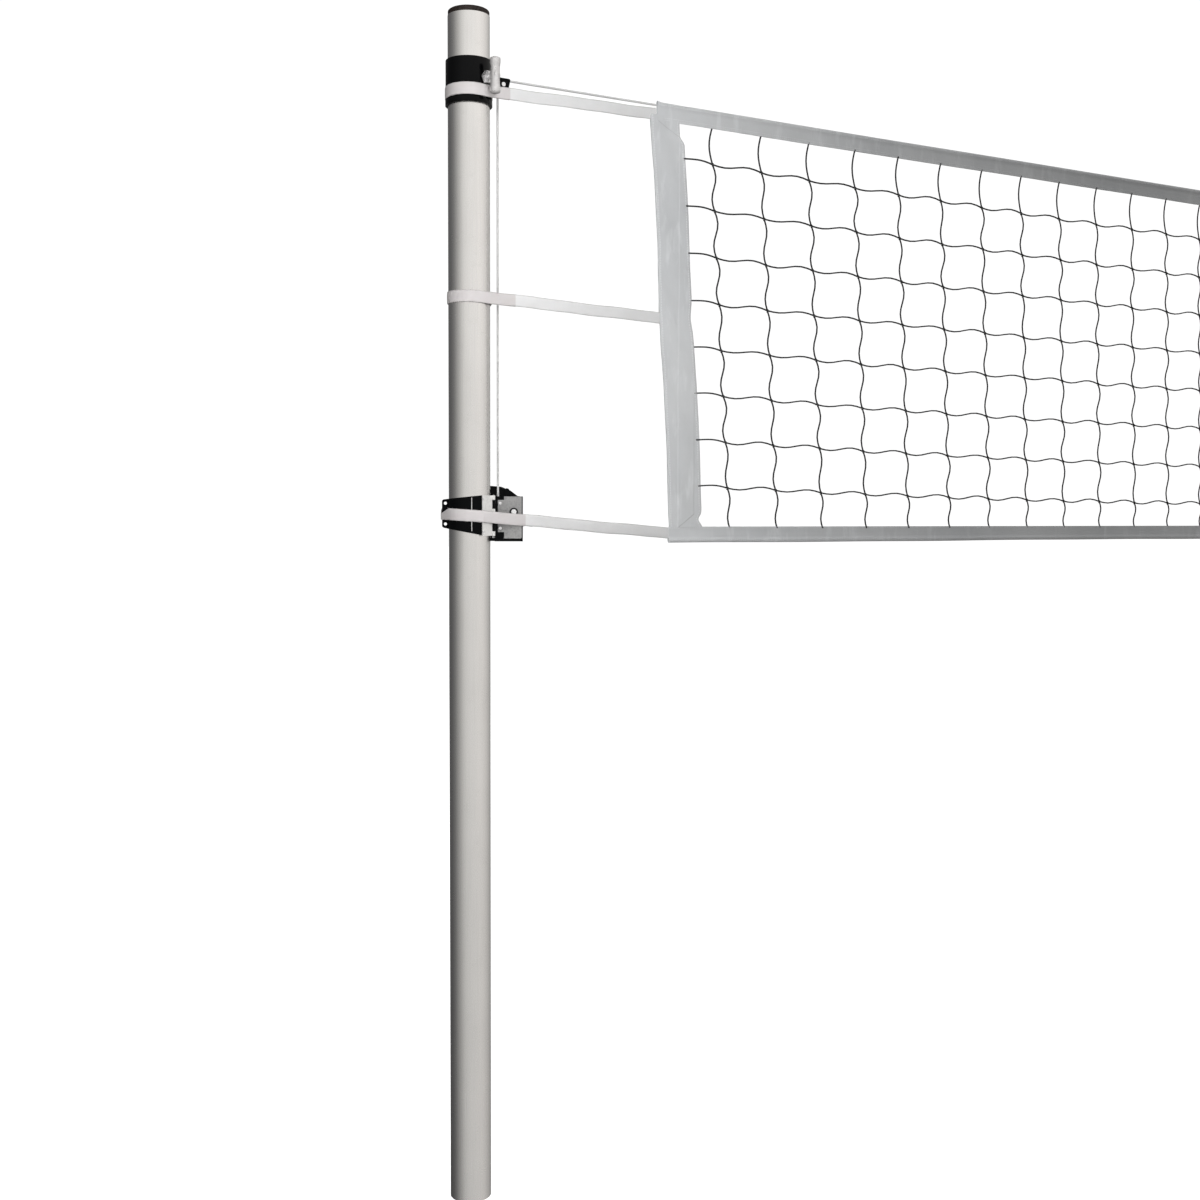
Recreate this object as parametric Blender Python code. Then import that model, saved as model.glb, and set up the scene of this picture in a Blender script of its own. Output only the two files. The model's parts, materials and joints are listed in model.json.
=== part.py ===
"""Indoor volleyball net hung between two round aluminium poles that stand in floor sockets.

Metres, +Z up. The origin is on the floor midway between the poles, +X runs along the net
towards the pole without the winch, and -Y is the side that the winch's cover plate faces.
Each pole has a frame of its own at its foot, whose +X points at the net, so the collar,
clamp screw, bracket and straps are the same parts on both poles.
"""

import math

import bmesh
import bpy
from mathutils import Matrix, Vector

# Driving dimensions
POLE_SPACING = 10.65
POLE_R = 0.04445
POLE_BORE_R = 0.0412
POLE_TOP = 2.543
SOCKET_DEPTH = 0.25
FOOT_FLANGE = 0.008
CAP_R = 0.0438
GAP = 0.0003
SLIDE_GAP = 0.00055

NET_TOP = 2.430
NET_BOTTOM = 1.4294
TOP_BAND = 0.0415
BOTTOM_BAND = 0.039
TAPE_START = 0.4496
BAND_START = 0.4681
TAPE_WIDTH = 0.090
LEAN = 0.0602
LEAN_FROM = 2.400
TAPE_TOP = 2.403
BOTTOM_START = 0.5045

WEBBING = 0.0254
WEBBING_T = 0.0018
STRAP_LAYERS = WEBBING_T + 0.0006
TOP_STRAP_Z, TOP_STRAP_RISE, TOP_STRAP_BEND = 2.382, 0.050, 0.035
MIDDLE_STRAP_Z, MIDDLE_STRAP_DROP = 1.954, 0.018
BOTTOM_STRAP_Z, BOTTOM_STRAP_DROP = 1.4916, 0.0755

COLLAR_LOW, COLLAR_HIGH = 2.356, 2.450
COLLAR_R = 0.0490
COLLAR_RING_R = 0.0497
COLLAR_GROOVE_R = 0.0480
SCREW_Z = 2.408
SCREW_ANGLE = -70.0
SCREW_R = 0.005
NUT_ACROSS, NUT_TURN = 0.0235, 0
HANDLE_REACH = 0.0777
HANDLE_LENGTH = 0.075

CABLE_R = 0.0024
CABLE_Z = 2.423
CABLE_X = 0.0675
BEND_R = 0.0105
WHEEL_X = CABLE_X + BEND_R
WHEEL_Z = CABLE_Z - BEND_R

WINCH_TURN = -24.74
SHELL_T = 0.0028
SHELL_R = POLE_R + SLIDE_GAP + SHELL_T / 2
WINCH_LOW, WINCH_HIGH = 1.4375, 1.5345
TOOTH_MODULE = 0.0012
DRUM_TEETH, PINION_TEETH, RATCHET_TEETH = 36, 12, 12
PINION_AT = (0.0948, 1.5012)
GEAR_DISTANCE = TOOTH_MODULE * (DRUM_TEETH + PINION_TEETH) / 2
SHAFT_R = 0.0058
DRUM_X = 0.0800
DRUM_AT = (DRUM_X, PINION_AT[1] - math.sqrt(GEAR_DISTANCE**2 - (PINION_AT[0] - DRUM_X) ** 2))
PAWL_AT = (0.0690, 1.5240)
BOLT_HEIGHTS = (1.5250, 1.4475)
HINGE_AT = (0.0512, -0.0205)

SLOTS = {
    "aluminium": ((0.62, 0.61, 0.59), 0.34, 0.95),
    "black_paint": ((0.012, 0.013, 0.014), 0.28, 0.0),
    "zinc": ((0.58, 0.59, 0.60), 0.38, 0.9),
    "cast_zinc": ((0.74, 0.73, 0.73), 0.45, 0.7),
    "steel": ((0.55, 0.55, 0.55), 0.3, 1.0),
    "rubber": ((0.035, 0.025, 0.022), 0.7, 0.0),
    "nylon": ((0.02, 0.02, 0.02), 0.5, 0.0),
    "webbing": ((0.74, 0.72, 0.71), 0.8, 0.0),
    "vinyl": ((0.56, 0.59, 0.61), 0.5, 0.0),
    "net_cord": ((0.05, 0.05, 0.055), 0.8, 0.0),
    "coated_cable": ((0.80, 0.80, 0.80), 0.35, 0.0),
}


def clear_scene():
    for old in list(bpy.data.objects):
        bpy.data.objects.remove(old)


def material(slot):
    """The slot's Principled material, made once."""
    found = bpy.data.materials.get(slot)
    if found:
        return found
    colour, roughness, metallic = SLOTS[slot]
    made = bpy.data.materials.new(slot)
    made.use_nodes = True
    shader = made.node_tree.nodes["Principled BSDF"]
    shader.inputs["Base Color"].default_value = (*colour, 1)
    shader.inputs["Roughness"].default_value = roughness
    shader.inputs["Metallic"].default_value = metallic
    made.diffuse_color = (*colour, 1)
    return made


def empty(name, matrix, parent=None):
    """An empty that holds a group of pieces; a moving group's is on its joint's axis."""
    made = bpy.data.objects.new(name, None)
    bpy.context.scene.collection.objects.link(made)
    made.empty_display_size = 0.05
    made.parent = parent
    made.matrix_basis = matrix
    return made


def place(name, shape, slot, parent=None, matrix=None, smooth=True):
    """Makes an object of a bmesh, at matrix under its parent."""
    bmesh.ops.recalc_face_normals(shape, faces=shape.faces)
    mesh = bpy.data.meshes.new(name)
    shape.to_mesh(mesh)
    shape.free()
    mesh.materials.append(material(slot))
    if smooth:
        mesh.shade_smooth()
        mesh.set_sharp_from_angle(angle=math.radians(35))
    made = bpy.data.objects.new(name, mesh)
    bpy.context.scene.collection.objects.link(made)
    made.parent = parent
    made.matrix_basis = matrix or Matrix.Identity(4)
    return made


def turned(profile, segments=32):
    """A closed (radius, z) outline turned about Z."""
    shape = bmesh.new()
    rings = []
    for radius, z in profile:
        if radius == 0:
            rings.append([shape.verts.new((0, 0, z))] * segments)
            continue
        turns = [2 * math.pi * k / segments for k in range(segments)]
        rings.append([shape.verts.new((radius * math.cos(a), radius * math.sin(a), z)) for a in turns])
    for one, two in zip(rings, rings[1:] + rings[:1]):
        for k in range(segments):
            corners = [one[k], one[(k + 1) % segments], two[(k + 1) % segments], two[k]]
            corners = [v for i, v in enumerate(corners) if v not in corners[:i]]
            if len(corners) > 2:
                shape.faces.new(corners)
    return shape


def prism(outline, low, high):
    """An outline in XY raised from low to high."""
    shape = bmesh.new()
    bottom = [shape.verts.new((x, y, low)) for x, y in outline]
    top = [shape.verts.new((x, y, high)) for x, y in outline]
    shape.faces.new(bottom[::-1])
    shape.faces.new(top)
    for k in range(len(outline)):
        after = (k + 1) % len(outline)
        shape.faces.new((bottom[k], bottom[after], top[after], top[k]))
    return shape


def block(low, high):
    """A box between two corners."""
    outline = [(low[0], low[1]), (high[0], low[1]), (high[0], high[1]), (low[0], high[1])]
    return prism(outline, low[2], high[2])


def ribbon(path, thickness, low, high):
    """A band of sheet on edge along an open XY path, with low and high edges given over x."""
    shape = bmesh.new()
    points = [Vector(p) for p in path]
    rows = []
    for k, point in enumerate(points):
        before = (point - points[max(k - 1, 0)]).normalized()
        after = (points[min(k + 1, len(points) - 1)] - point).normalized()
        along = (before + after).normalized()
        side = Vector((-along.y, along.x)) * thickness / 2
        side /= max(along.dot(after if after.length else before), 0.5)
        inner, outer = point - side, point + side
        corners = [(inner, low), (inner, high), (outer, high), (outer, low)]
        rows.append([shape.verts.new((*p, edge(point.x))) for p, edge in corners])
    for one, two in zip(rows, rows[1:]):
        for k in range(4):
            after = (k + 1) % 4
            shape.faces.new((one[k], one[after], two[after], two[k]))
    shape.faces.new(rows[0][::-1])
    shape.faces.new(rows[-1])
    return shape


def combine(obj, others, operation):
    """Adds an exact Boolean to obj for each (bmesh, matrix) in others."""
    for number, (shape, matrix) in enumerate(others):
        tool = place(f"{obj.name}.{operation.lower()}{number}", shape, "steel", obj.parent, matrix)
        tool.hide_render = True
        tool.display_type = "WIRE"
        change = obj.modifiers.new(tool.name, "BOOLEAN")
        change.operation = operation
        change.solver = "EXACT"
        change.object = tool
    return obj


def rod(radius, low, high, segments=16):
    return turned([(0, low), (radius, low), (radius, high), (0, high)], segments)


def hexagon(across, first=30):
    corner = across / math.sqrt(3)
    angles = (math.radians(60 * k + first) for k in range(6))
    return [(corner * math.cos(a), corner * math.sin(a)) for a in angles]


def circle(radius, centre=(0, 0), start=0.0, end=360.0, count=48):
    """count + 1 points of an arc, in degrees."""
    angles = [math.radians(start + (end - start) * k / count) for k in range(count + 1)]
    return [(centre[0] + radius * math.cos(a), centre[1] + radius * math.sin(a)) for a in angles]


def hull(points):
    """The convex outline of XY points, anticlockwise: the way a taut strap lies round them."""
    points = sorted(set(points))
    chains = []
    for line in (points, points[::-1]):
        chain = []
        for p in line:
            while len(chain) > 1:
                (ax, ay), (bx, by) = chain[-2:]
                if (bx - ax) * (p[1] - ay) - (by - ay) * (p[0] - ax) > 0:
                    break
                chain.pop()
            chain.append(p)
        chains += chain[:-1]
    return chains


def strap_path(round_what, end, pinch_x, tail_x):
    """A strap from its sewn end straight to the front of what it holds, all the way round that to
    the pinch, and back along the inside of its own taut run to its tail."""
    front = hull(round_what + [end])
    touch = Vector(front[front.index(end) - 1])
    run = Vector(end) - touch
    inside = Vector((-run.y, run.x)).normalized() * STRAP_LAYERS

    def beside(x):
        return tuple(touch + run * (x - touch.x) / run.x + inside)

    pinch = beside(pinch_x)
    loop = hull(round_what + [pinch])
    start = loop.index(pinch)
    wrap = (loop[start + 1:] + loop[:start])[::-1]
    return [end, *wrap, pinch, beside(tail_x)]


def axis_frame(origin, direction):
    """A frame at origin whose Z points along direction."""
    turn = Vector(direction).to_track_quat("Z", "Y").to_matrix().to_4x4()
    return Matrix.Translation(origin) @ turn


def upright(matrix=None):
    """Turns a shape drawn in XY so that its Y points up and its Z along -Y."""
    return (matrix or Matrix.Identity(4)) @ Matrix.Rotation(math.radians(90), 4, "X")


def across(x, z):
    """A frame at (x, 0, z) whose Y points down and Z along +Y: shafts and wheels."""
    return Matrix(((1, 0, 0, x), (0, 0, 1, 0), (0, -1, 0, z), (0, 0, 0, 1)))


def pole(side, frame):
    """The tube with its pressed-in cap and foot plug."""
    bottom = -SOCKET_DEPTH + FOOT_FLANGE + GAP
    tube = [(POLE_R, POLE_TOP), (POLE_R, bottom), (POLE_BORE_R, bottom), (POLE_BORE_R, POLE_TOP)]
    place(f"{side}_pole", turned(tube, 48), "aluminium", frame)
    seat, plug = POLE_TOP + GAP, POLE_BORE_R - GAP
    rim, dome, steps = 0.0085, 0.0065, 3
    crown = [(CAP_R * math.cos(a), seat + rim + dome * math.sin(a))
             for a in (math.pi / 2 * k / steps for k in range(steps))]
    cap = [(0, seat - 0.03), (plug, seat - 0.03), (plug, seat), (CAP_R, seat), *crown,
           (0, seat + rim + dome)]
    place(f"{side}_pole_cap", turned(cap), "rubber", frame)
    low = -SOCKET_DEPTH
    foot = [(0, low), (CAP_R, low), (CAP_R, low + FOOT_FLANGE), (plug, low + FOOT_FLANGE),
            (plug, low + 0.035), (0, low + 0.035)]
    place(f"{side}_pole_foot", turned(foot), "rubber", frame)


def collar(side, frame):
    """The sliding collar, its boss, the nut welded on it and the clamp screw with its cast handle."""
    inner = POLE_R + SLIDE_GAP
    groove_low = TOP_STRAP_Z - WEBBING / 2 - 0.0018
    groove_high = TOP_STRAP_Z + WEBBING / 2 + 0.0015
    profile = [
        (inner, COLLAR_LOW), (COLLAR_RING_R, COLLAR_LOW), (COLLAR_RING_R, groove_low),
        (COLLAR_GROOVE_R, groove_low), (COLLAR_GROOVE_R, groove_high), (COLLAR_R, groove_high),
        (COLLAR_R, COLLAR_HIGH - 0.0008), (COLLAR_R - 0.0008, COLLAR_HIGH), (inner, COLLAR_HIGH),
    ]
    body = place(f"{side}_collar", turned(profile, 48), "black_paint", frame)
    turn = math.radians(SCREW_ANGLE)
    direction = (math.cos(turn), math.sin(turn), 0)
    screw_line = axis_frame((0, 0, SCREW_Z), direction)
    boss_r, boss_end = 0.0122, 0.0512
    combine(body, [(rod(boss_r, 0.0465, boss_end, 24), screw_line)], "UNION")
    combine(body, [(rod(SCREW_R + 0.0006, 0.040, 0.060), screw_line)], "DIFFERENCE")
    nut = prism(hexagon(NUT_ACROSS, NUT_TURN), boss_end + GAP, boss_end + 0.0102)
    nut = place(f"{side}_clamp_nut", nut, "steel", frame, screw_line, smooth=False)
    combine(nut, [(rod(SCREW_R + 0.0004, 0.040, 0.080), screw_line)], "DIFFERENCE")

    group = empty(f"{side}_screw_axis", screw_line, frame)
    tip, inside = POLE_R + 0.00045, HANDLE_REACH + 0.004
    place(f"{side}_clamp_screw", rod(SCREW_R, tip, inside), "steel", group)
    half = HANDLE_LENGTH / 2
    ends, waist = 0.0112, 0.0088
    bone = [(0, -half), (ends - 0.003, -half), (ends, -half + 0.003), (ends, -half + 0.013),
            (waist, -half + 0.022), (waist, half - 0.022), (ends, half - 0.013), (ends, half - 0.003),
            (ends - 0.003, half), (0, half)]
    upward = screw_line.inverted().to_3x3() @ Vector((0, 0, 1))
    bar = axis_frame((0, 0, HANDLE_REACH), upward)
    grip = place(f"{side}_clamp_handle", turned(bone, 20), "cast_zinc", group, bar)
    combine(grip, [(rod(SCREW_R + GAP, 0.055, inside + GAP), Matrix.Identity(4))], "DIFFERENCE")


def bracket(side, frame):
    """The fork welded on the collar's net side, with its pin."""
    plate_half, slot_half = 0.0062, 0.0043
    nose = circle(0.0112, (WHEEL_X, WHEEL_Z), -60, -150, 6)
    outline = [(0.0496, 2.4085), (0.0496, 2.4420), (0.0590, 2.4420), (0.0715, 2.4262), (0.0930, 2.4262),
               (0.0950, 2.4235), (0.0915, 2.4085), *nose, (0.0640, 2.4085)]
    shape = prism(outline, -plate_half, plate_half)
    made = place(f"{side}_cable_bracket", shape, "black_paint", frame, upright(), smooth=False)
    slot = block((0.0605, -slot_half, 2.38), (0.12, slot_half, 2.47))
    combine(made, [(slot, Matrix.Identity(4))], "DIFFERENCE")
    pin_line = across(WHEEL_X, WHEEL_Z)
    combine(made, [(rod(0.0032, -0.02, 0.02), pin_line)], "DIFFERENCE")
    reach, head = 0.0066, 0.0020
    pin = [(0, -reach - head), (0.0048, -reach - head), (0.0048, -reach), (0.0028, -reach), (0.0028, reach),
           (0.0044, reach), (0.0044, reach + 0.0015), (0, reach + 0.0015)]
    place(f"{side}_bracket_pin", turned(pin, 16), "steel", frame, pin_line)


def grooved_wheel(radius, half_width, bore):
    """A wheel or thimble whose groove holds the cable."""
    floor = BEND_R - CABLE_R - 0.0004
    lip = half_width - 0.0006
    return turned([(bore, -half_width), (radius, -half_width), (radius, -lip), (floor + 0.0010, -0.0024),
                   (floor, 0), (floor + 0.0010, 0.0024), (radius, lip), (radius, half_width),
                   (bore, half_width)], 28)


def toothed(teeth, pitch_r, tip, root, half_tooth, first):
    """A gear's outline: straight-flanked teeth, one centred at angle first."""
    outline = []
    step = 2 * math.pi / teeth
    for k in range(teeth):
        middle = first + k * step
        for radius, offset in ((root, -half_tooth * 1.45), (tip, -half_tooth * 0.55),
                               (tip, half_tooth * 0.55), (root, half_tooth * 1.45)):
            angle = middle + offset * step
            outline.append(((pitch_r + radius) * math.cos(angle), (pitch_r + radius) * math.sin(angle)))
    return outline


def ratchet(tip, root, first):
    """Saw teeth whose radial faces look back at the pawl."""
    outline = []
    for k in range(RATCHET_TEETH):
        angle = first + 2 * math.pi * k / RATCHET_TEETH
        outline.append((root * math.cos(angle), root * math.sin(angle)))
        outline.append((tip * math.cos(angle), tip * math.sin(angle)))
    return outline


def clamp_shells(frame):
    """The two half shells that hold the winch on the pole, the front one with its hinge leaf."""
    ear_tip, ear_y, corner = 0.0590, GAP + SHELL_T / 2, 0.0040
    tip_low, tip_high, rear_high = 1.4672, 1.5272, 1.5330
    wide_low, wide_high, wide_x = 1.4510, 1.5362, 0.0285
    tip = [-ear_tip + corner * step for step in (0, 0.07, 0.3, 1)]

    def along(x):
        return (x + ear_tip) / (ear_tip + wide_x)

    def rounding(x):
        """How far the ear's corners draw the edge in."""
        inset = min(max(corner - x - ear_tip, 0), corner)
        return corner - math.sqrt(corner**2 - inset**2)

    def low(x):
        return tip_low + (wide_low - tip_low) * along(x) + rounding(x)

    def high(x):
        return tip_high + (wide_high - tip_high) * along(x) - rounding(x)

    def ear_holes():
        return [(rod(0.0033, -0.01, 0.01), across(-0.0518, z)) for z in (1.5192, 1.4748)]

    neck = -SHELL_R - 0.0035
    front = [*((x, -ear_y) for x in tip), (neck, -ear_y), *circle(SHELL_R, start=184, end=306, count=18)]
    shell = place("clamp_front_shell", ribbon(front, SHELL_T, low, high), "black_paint", frame)
    combine(shell, ear_holes(), "DIFFERENCE")
    back = [*((x, ear_y) for x in tip), (neck, ear_y), *circle(SHELL_R, start=176, end=50, count=18),
            (0.0523, 0.0300), (0.0523, 0.0110)]
    shape = ribbon(back, SHELL_T, low, lambda x: min(high(x), rear_high))
    shell = place("clamp_back_shell", shape, "black_paint", frame)
    bolt_holes = [(rod(0.0034, 0.03, 0.07), axis_frame((0, 0.019, z), (1, 0, 0))) for z in BOLT_HEIGHTS]
    combine(shell, ear_holes() + bolt_holes, "DIFFERENCE")


def hinge(frame):
    """The zinc leaf on the front shell, the leaf on the frame and the pin between them."""
    bottom, top = 1.4500, 1.5360
    knuckles = [1.4598, 1.4782, 1.5077, 1.5265]
    barrel_r, bore_r, thick = 0.0035, 0.0019, 0.0020
    start, end = Vector((0.0265, -0.0438)), Vector(HINGE_AT)
    along = (end - start).normalized()
    reach = (end - start).length
    leaf_frame = Matrix((
        (along.x, 0, along.y, start.x), (along.y, 0, -along.x, start.y), (0, 1, 0, 0), (0, 0, 0, 1),
    ))
    notch = reach - barrel_r - 0.0015
    edge = reach - 0.0005
    outline = [(0, bottom), (edge, bottom), (edge, knuckles[0] - GAP), (notch, knuckles[0] - GAP),
               (notch, knuckles[1] + GAP), (edge, knuckles[1] + GAP), (edge, knuckles[2] - GAP),
               (notch, knuckles[2] - GAP), (notch, knuckles[3] + GAP), (edge, knuckles[3] + GAP),
               (edge, top), (0, top)]
    leaf = prism(outline, -thick / 2, thick / 2)
    leaf = place("hinge_leaf", leaf, "zinc", frame, leaf_frame, smooth=False)
    pin_line = Matrix.Translation((*HINGE_AT, 0))
    spans = [(bottom, knuckles[0] - GAP), (knuckles[1] + GAP, knuckles[2] - GAP), (knuckles[3] + GAP, top)]
    combine(leaf, [(rod(barrel_r, *s), pin_line) for s in spans], "UNION")
    combine(leaf, [(rod(bore_r, 1.4, 1.6), pin_line)], "DIFFERENCE")
    for name, z in (("upper", 1.5285), ("lower", 1.4585)):
        spot = leaf_frame @ Matrix.Translation((0.0030, z, 0))
        place(f"hinge_leaf_{name}_screw", rod(0.0026, thick / 2 + GAP, 0.0028, 16), "steel", frame, spot)

    wall = 0.0525
    fixed = block((wall - 0.001, HINGE_AT[1], knuckles[0]), (wall + 0.001, 0.0092, knuckles[3]))
    fixed = place("hinge_frame_leaf", fixed, "black_paint", frame, smooth=False)
    clear = block((0.04, -0.03, knuckles[1]), (0.06, HINGE_AT[1] + barrel_r + 0.0015, knuckles[2]))
    combine(fixed, [(rod(barrel_r, knuckles[0], knuckles[1]), pin_line),
                    (rod(barrel_r, knuckles[2], knuckles[3]), pin_line)], "UNION")
    combine(fixed, [(clear, Matrix.Identity(4)), (rod(bore_r, 1.4, 1.6), pin_line)], "DIFFERENCE")
    place("hinge_pin", rod(bore_r - GAP, bottom - 0.001, top + 0.001, 16), "steel", frame, pin_line)


def winch_box(frame):
    """The winch's folded frame, back plate, zinc cover plate and their fasteners."""
    left, right, front, rear, sheet = 0.0540, 0.1145, 0.0065, 0.0477, 0.0025
    box = block((left, front, WINCH_LOW), (right, rear, WINCH_HIGH))
    box = place("winch_frame", box, "black_paint", frame, smooth=False)
    inside = block((left + sheet, front + sheet, WINCH_LOW + sheet), (0.13, 0.07, 1.60))
    holes = [
        (inside, Matrix.Identity(4)),
        (rod(0.0073, -0.01, 0.02), across(*PINION_AT)),
        (rod(0.0054, -0.01, 0.02), across(*DRUM_AT)),
    ]
    rivet_spots = [(0.0652, 1.5195), (0.0656, 1.4660)]
    holes += [(rod(0.0024, -0.01, 0.02, 16), across(*spot)) for spot in rivet_spots]
    holes += [(rod(0.0034, 0.03, 0.07, 16), axis_frame((0, 0.019, z), (1, 0, 0))) for z in BOLT_HEIGHTS]
    combine(box, holes, "DIFFERENCE")

    outline = [(0.0425, 1.4375), (right, 1.4375), (right, 1.5345), (0.1045, 1.5360), (0.0900, 1.5470),
               (0.0860, 1.5490), (0.0800, 1.5490), (0.0765, 1.5530), (0.0683, 1.5560), (0.0425, 1.5580)]
    plate = prism(outline, -0.0505, -rear - GAP)
    plate = place("winch_back_plate", plate, "black_paint", frame, upright(), smooth=False)
    shafts = [(PINION_AT, SHAFT_R + 0.0004), (DRUM_AT, 0.0054), (PAWL_AT, 0.0025)]
    combine(plate, [(rod(r, 0.03, 0.06), across(*at)) for at, r in shafts], "DIFFERENCE")

    side, corner = 0.1120, 0.0030
    cover = [*circle(corner, (side - corner, 1.4438 + corner), -90, 0, 4),
             *circle(corner, (side - corner, 1.5342 - corner), 0, 90, 4),
             (0.0740, 1.5342), (0.0740, 1.5268), (0.0607, 1.5268), (0.0607, 1.4575), (0.0740, 1.4575),
             (0.0740, 1.4438)]
    cover = prism(cover, -0.0062, -0.0044)
    cover = place("winch_cover_plate", cover, "zinc", frame, upright(), smooth=False)
    holes = [(rod(0.0073, -0.01, 0.02), across(*PINION_AT))]
    holes += [(rod(0.0024, -0.01, 0.02, 16), across(*spot)) for spot in rivet_spots]
    combine(cover, holes, "DIFFERENCE")

    rivet = [(0, 0.0026), (0.0034, 0.0030), (0.0038, 0.0041), (0.0021, 0.0041), (0.0021, 0.0100),
             (0, 0.0100)]
    bolt = [(0, 0.0485), (0.0029, 0.0485), (0.0029, 0.0568), (0.0050, 0.0568), (0.0050, 0.0600),
            (0, 0.0600)]
    for name, spot, z in zip(("upper", "lower"), rivet_spots, BOLT_HEIGHTS):
        place(f"cover_plate_{name}_rivet", turned(rivet, 16), "steel", frame, across(*spot))
        place(f"frame_{name}_bolt", turned(bolt, 12), "steel", frame, axis_frame((0, 0.019, z), (1, 0, 0)))

    bore, rim, sleeve = SHAFT_R + 0.0003, 0.0095, 0.0070
    bush = [(bore, 0.0020), (rim, 0.0020), (rim, 0.0041), (sleeve, 0.0041),
            (sleeve, 0.0093), (bore, 0.0093)]
    place("pinion_bush", turned(bush, 24), "nylon", frame, across(*PINION_AT))


def winch_train(frame):
    """The drum with its gear and winding, the pinion shaft with its ratchet, and the pawl."""
    to_pinion = math.atan2(-(PINION_AT[1] - DRUM_AT[1]), PINION_AT[0] - DRUM_AT[0])
    drum_axis = empty("drum_axis", across(*DRUM_AT), frame)
    bore = 0.0053
    drum = [(bore, 0.0180), (0.0205, 0.0180), (0.0205, 0.0200), (0.0100, 0.0200), (0.0100, 0.0370),
            (0.0205, 0.0370), (0.0205, 0.0390), (bore, 0.0390)]
    place("drum", turned(drum), "zinc", drum_axis)
    coil = [(0.0103, 0.0203), (0.0160, 0.0203), (0.0160, 0.0367), (0.0103, 0.0367)]
    place("cable_winding", turned(coil), "coated_cable", drum_axis)
    place("drum_shaft", rod(0.0050, 0.0067, 0.0500), "steel", drum_axis)
    gear_r = TOOTH_MODULE * DRUM_TEETH / 2
    tip, root, tooth = 0.75 * TOOTH_MODULE, -1.1 * TOOTH_MODULE, 0.20
    outline = toothed(DRUM_TEETH, gear_r, tip, root, tooth, to_pinion)
    gear = place("drum_gear", prism(outline, 0.0120, 0.0165), "steel", drum_axis, smooth=False)
    combine(gear, [(rod(bore, 0.0, 0.03), Matrix.Identity(4))], "DIFFERENCE")

    pinion_axis = empty("pinion_axis", across(*PINION_AT), frame)
    pinion_r = TOOTH_MODULE * PINION_TEETH / 2
    first = to_pinion + math.pi + math.pi / PINION_TEETH
    outline = toothed(PINION_TEETH, pinion_r, tip, root, tooth, first)
    shaft = place("pinion_shaft", rod(SHAFT_R, 0.0015, 0.0500), "steel", pinion_axis)
    combine(shaft, [(prism(outline, 0.0115, 0.0170), Matrix.Identity(4)),
                    (prism(hexagon(0.0098), -0.0050, 0.0020), Matrix.Identity(4))], "UNION")
    wheel = prism(ratchet(0.0150, 0.0120, math.radians(-65)), 0.0415, 0.0455)
    wheel = place("ratchet_wheel", wheel, "steel", pinion_axis, smooth=False)
    combine(wheel, [(rod(SHAFT_R + 0.0003, 0.03, 0.06), Matrix.Identity(4))], "DIFFERENCE")

    pawl_axis = empty("pawl_axis", across(*PAWL_AT), frame)
    px, pz = PAWL_AT
    outline = [(0.0993, 1.5137), (0.1007, 1.5170), (0.0950, 1.5215), (0.0860, 1.5250), (0.0815, 1.5300),
               (0.0870, 1.5470), (0.0850, 1.5515), (0.0785, 1.5530), (0.0745, 1.5330), (0.0690, 1.5296),
               (0.0648, 1.5278), (0.0636, 1.5238), (0.0655, 1.5198), (0.0690, 1.5187), (0.0800, 1.5197),
               (0.0932, 1.5170)]
    outline = [(x - px, pz - z) for x, z in outline]
    pawl = place("pawl", prism(outline, 0.0418, 0.0455), "black_paint", pawl_axis, smooth=False)
    combine(pawl, [(rod(0.0026, 0.03, 0.06), Matrix.Identity(4))], "DIFFERENCE")
    pin = [(0, 0.0398), (0.0042, 0.0398), (0.0042, 0.0413), (0.0022, 0.0413), (0.0022, 0.0507), (0, 0.0507)]
    place("pawl_pin", turned(pin, 16), "steel", frame, across(*PAWL_AT))
    wire_r, coil_r, turns = 0.0004, 0.0036, 1.5
    spring = [(coil_r * math.cos(a), coil_r * math.sin(a), 0.0461 + 0.0013 * k / 18)
              for k, a in enumerate(2 * math.pi * turns * k / 18 for k in range(19))]
    cord("pawl_spring", spring, wire_r, "steel", frame, across(*PAWL_AT), 1)


def cord(name, points, radius, slot, parent=None, matrix=None, resolution=2):
    """A round cord along points, with filled ends."""
    curve = bpy.data.curves.new(name, "CURVE")
    curve.dimensions = "3D"
    curve.bevel_depth = radius
    curve.bevel_resolution = resolution
    curve.use_fill_caps = True
    spline = curve.splines.new("POLY")
    spline.points.add(len(points) - 1)
    for spot, point in zip(spline.points, points):
        spot.co = (*point, 1)
    curve.materials.append(material(slot))
    made = bpy.data.objects.new(name, curve)
    bpy.context.scene.collection.objects.link(made)
    made.parent = parent
    made.matrix_basis = matrix or Matrix.Identity(4)
    return made


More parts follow.
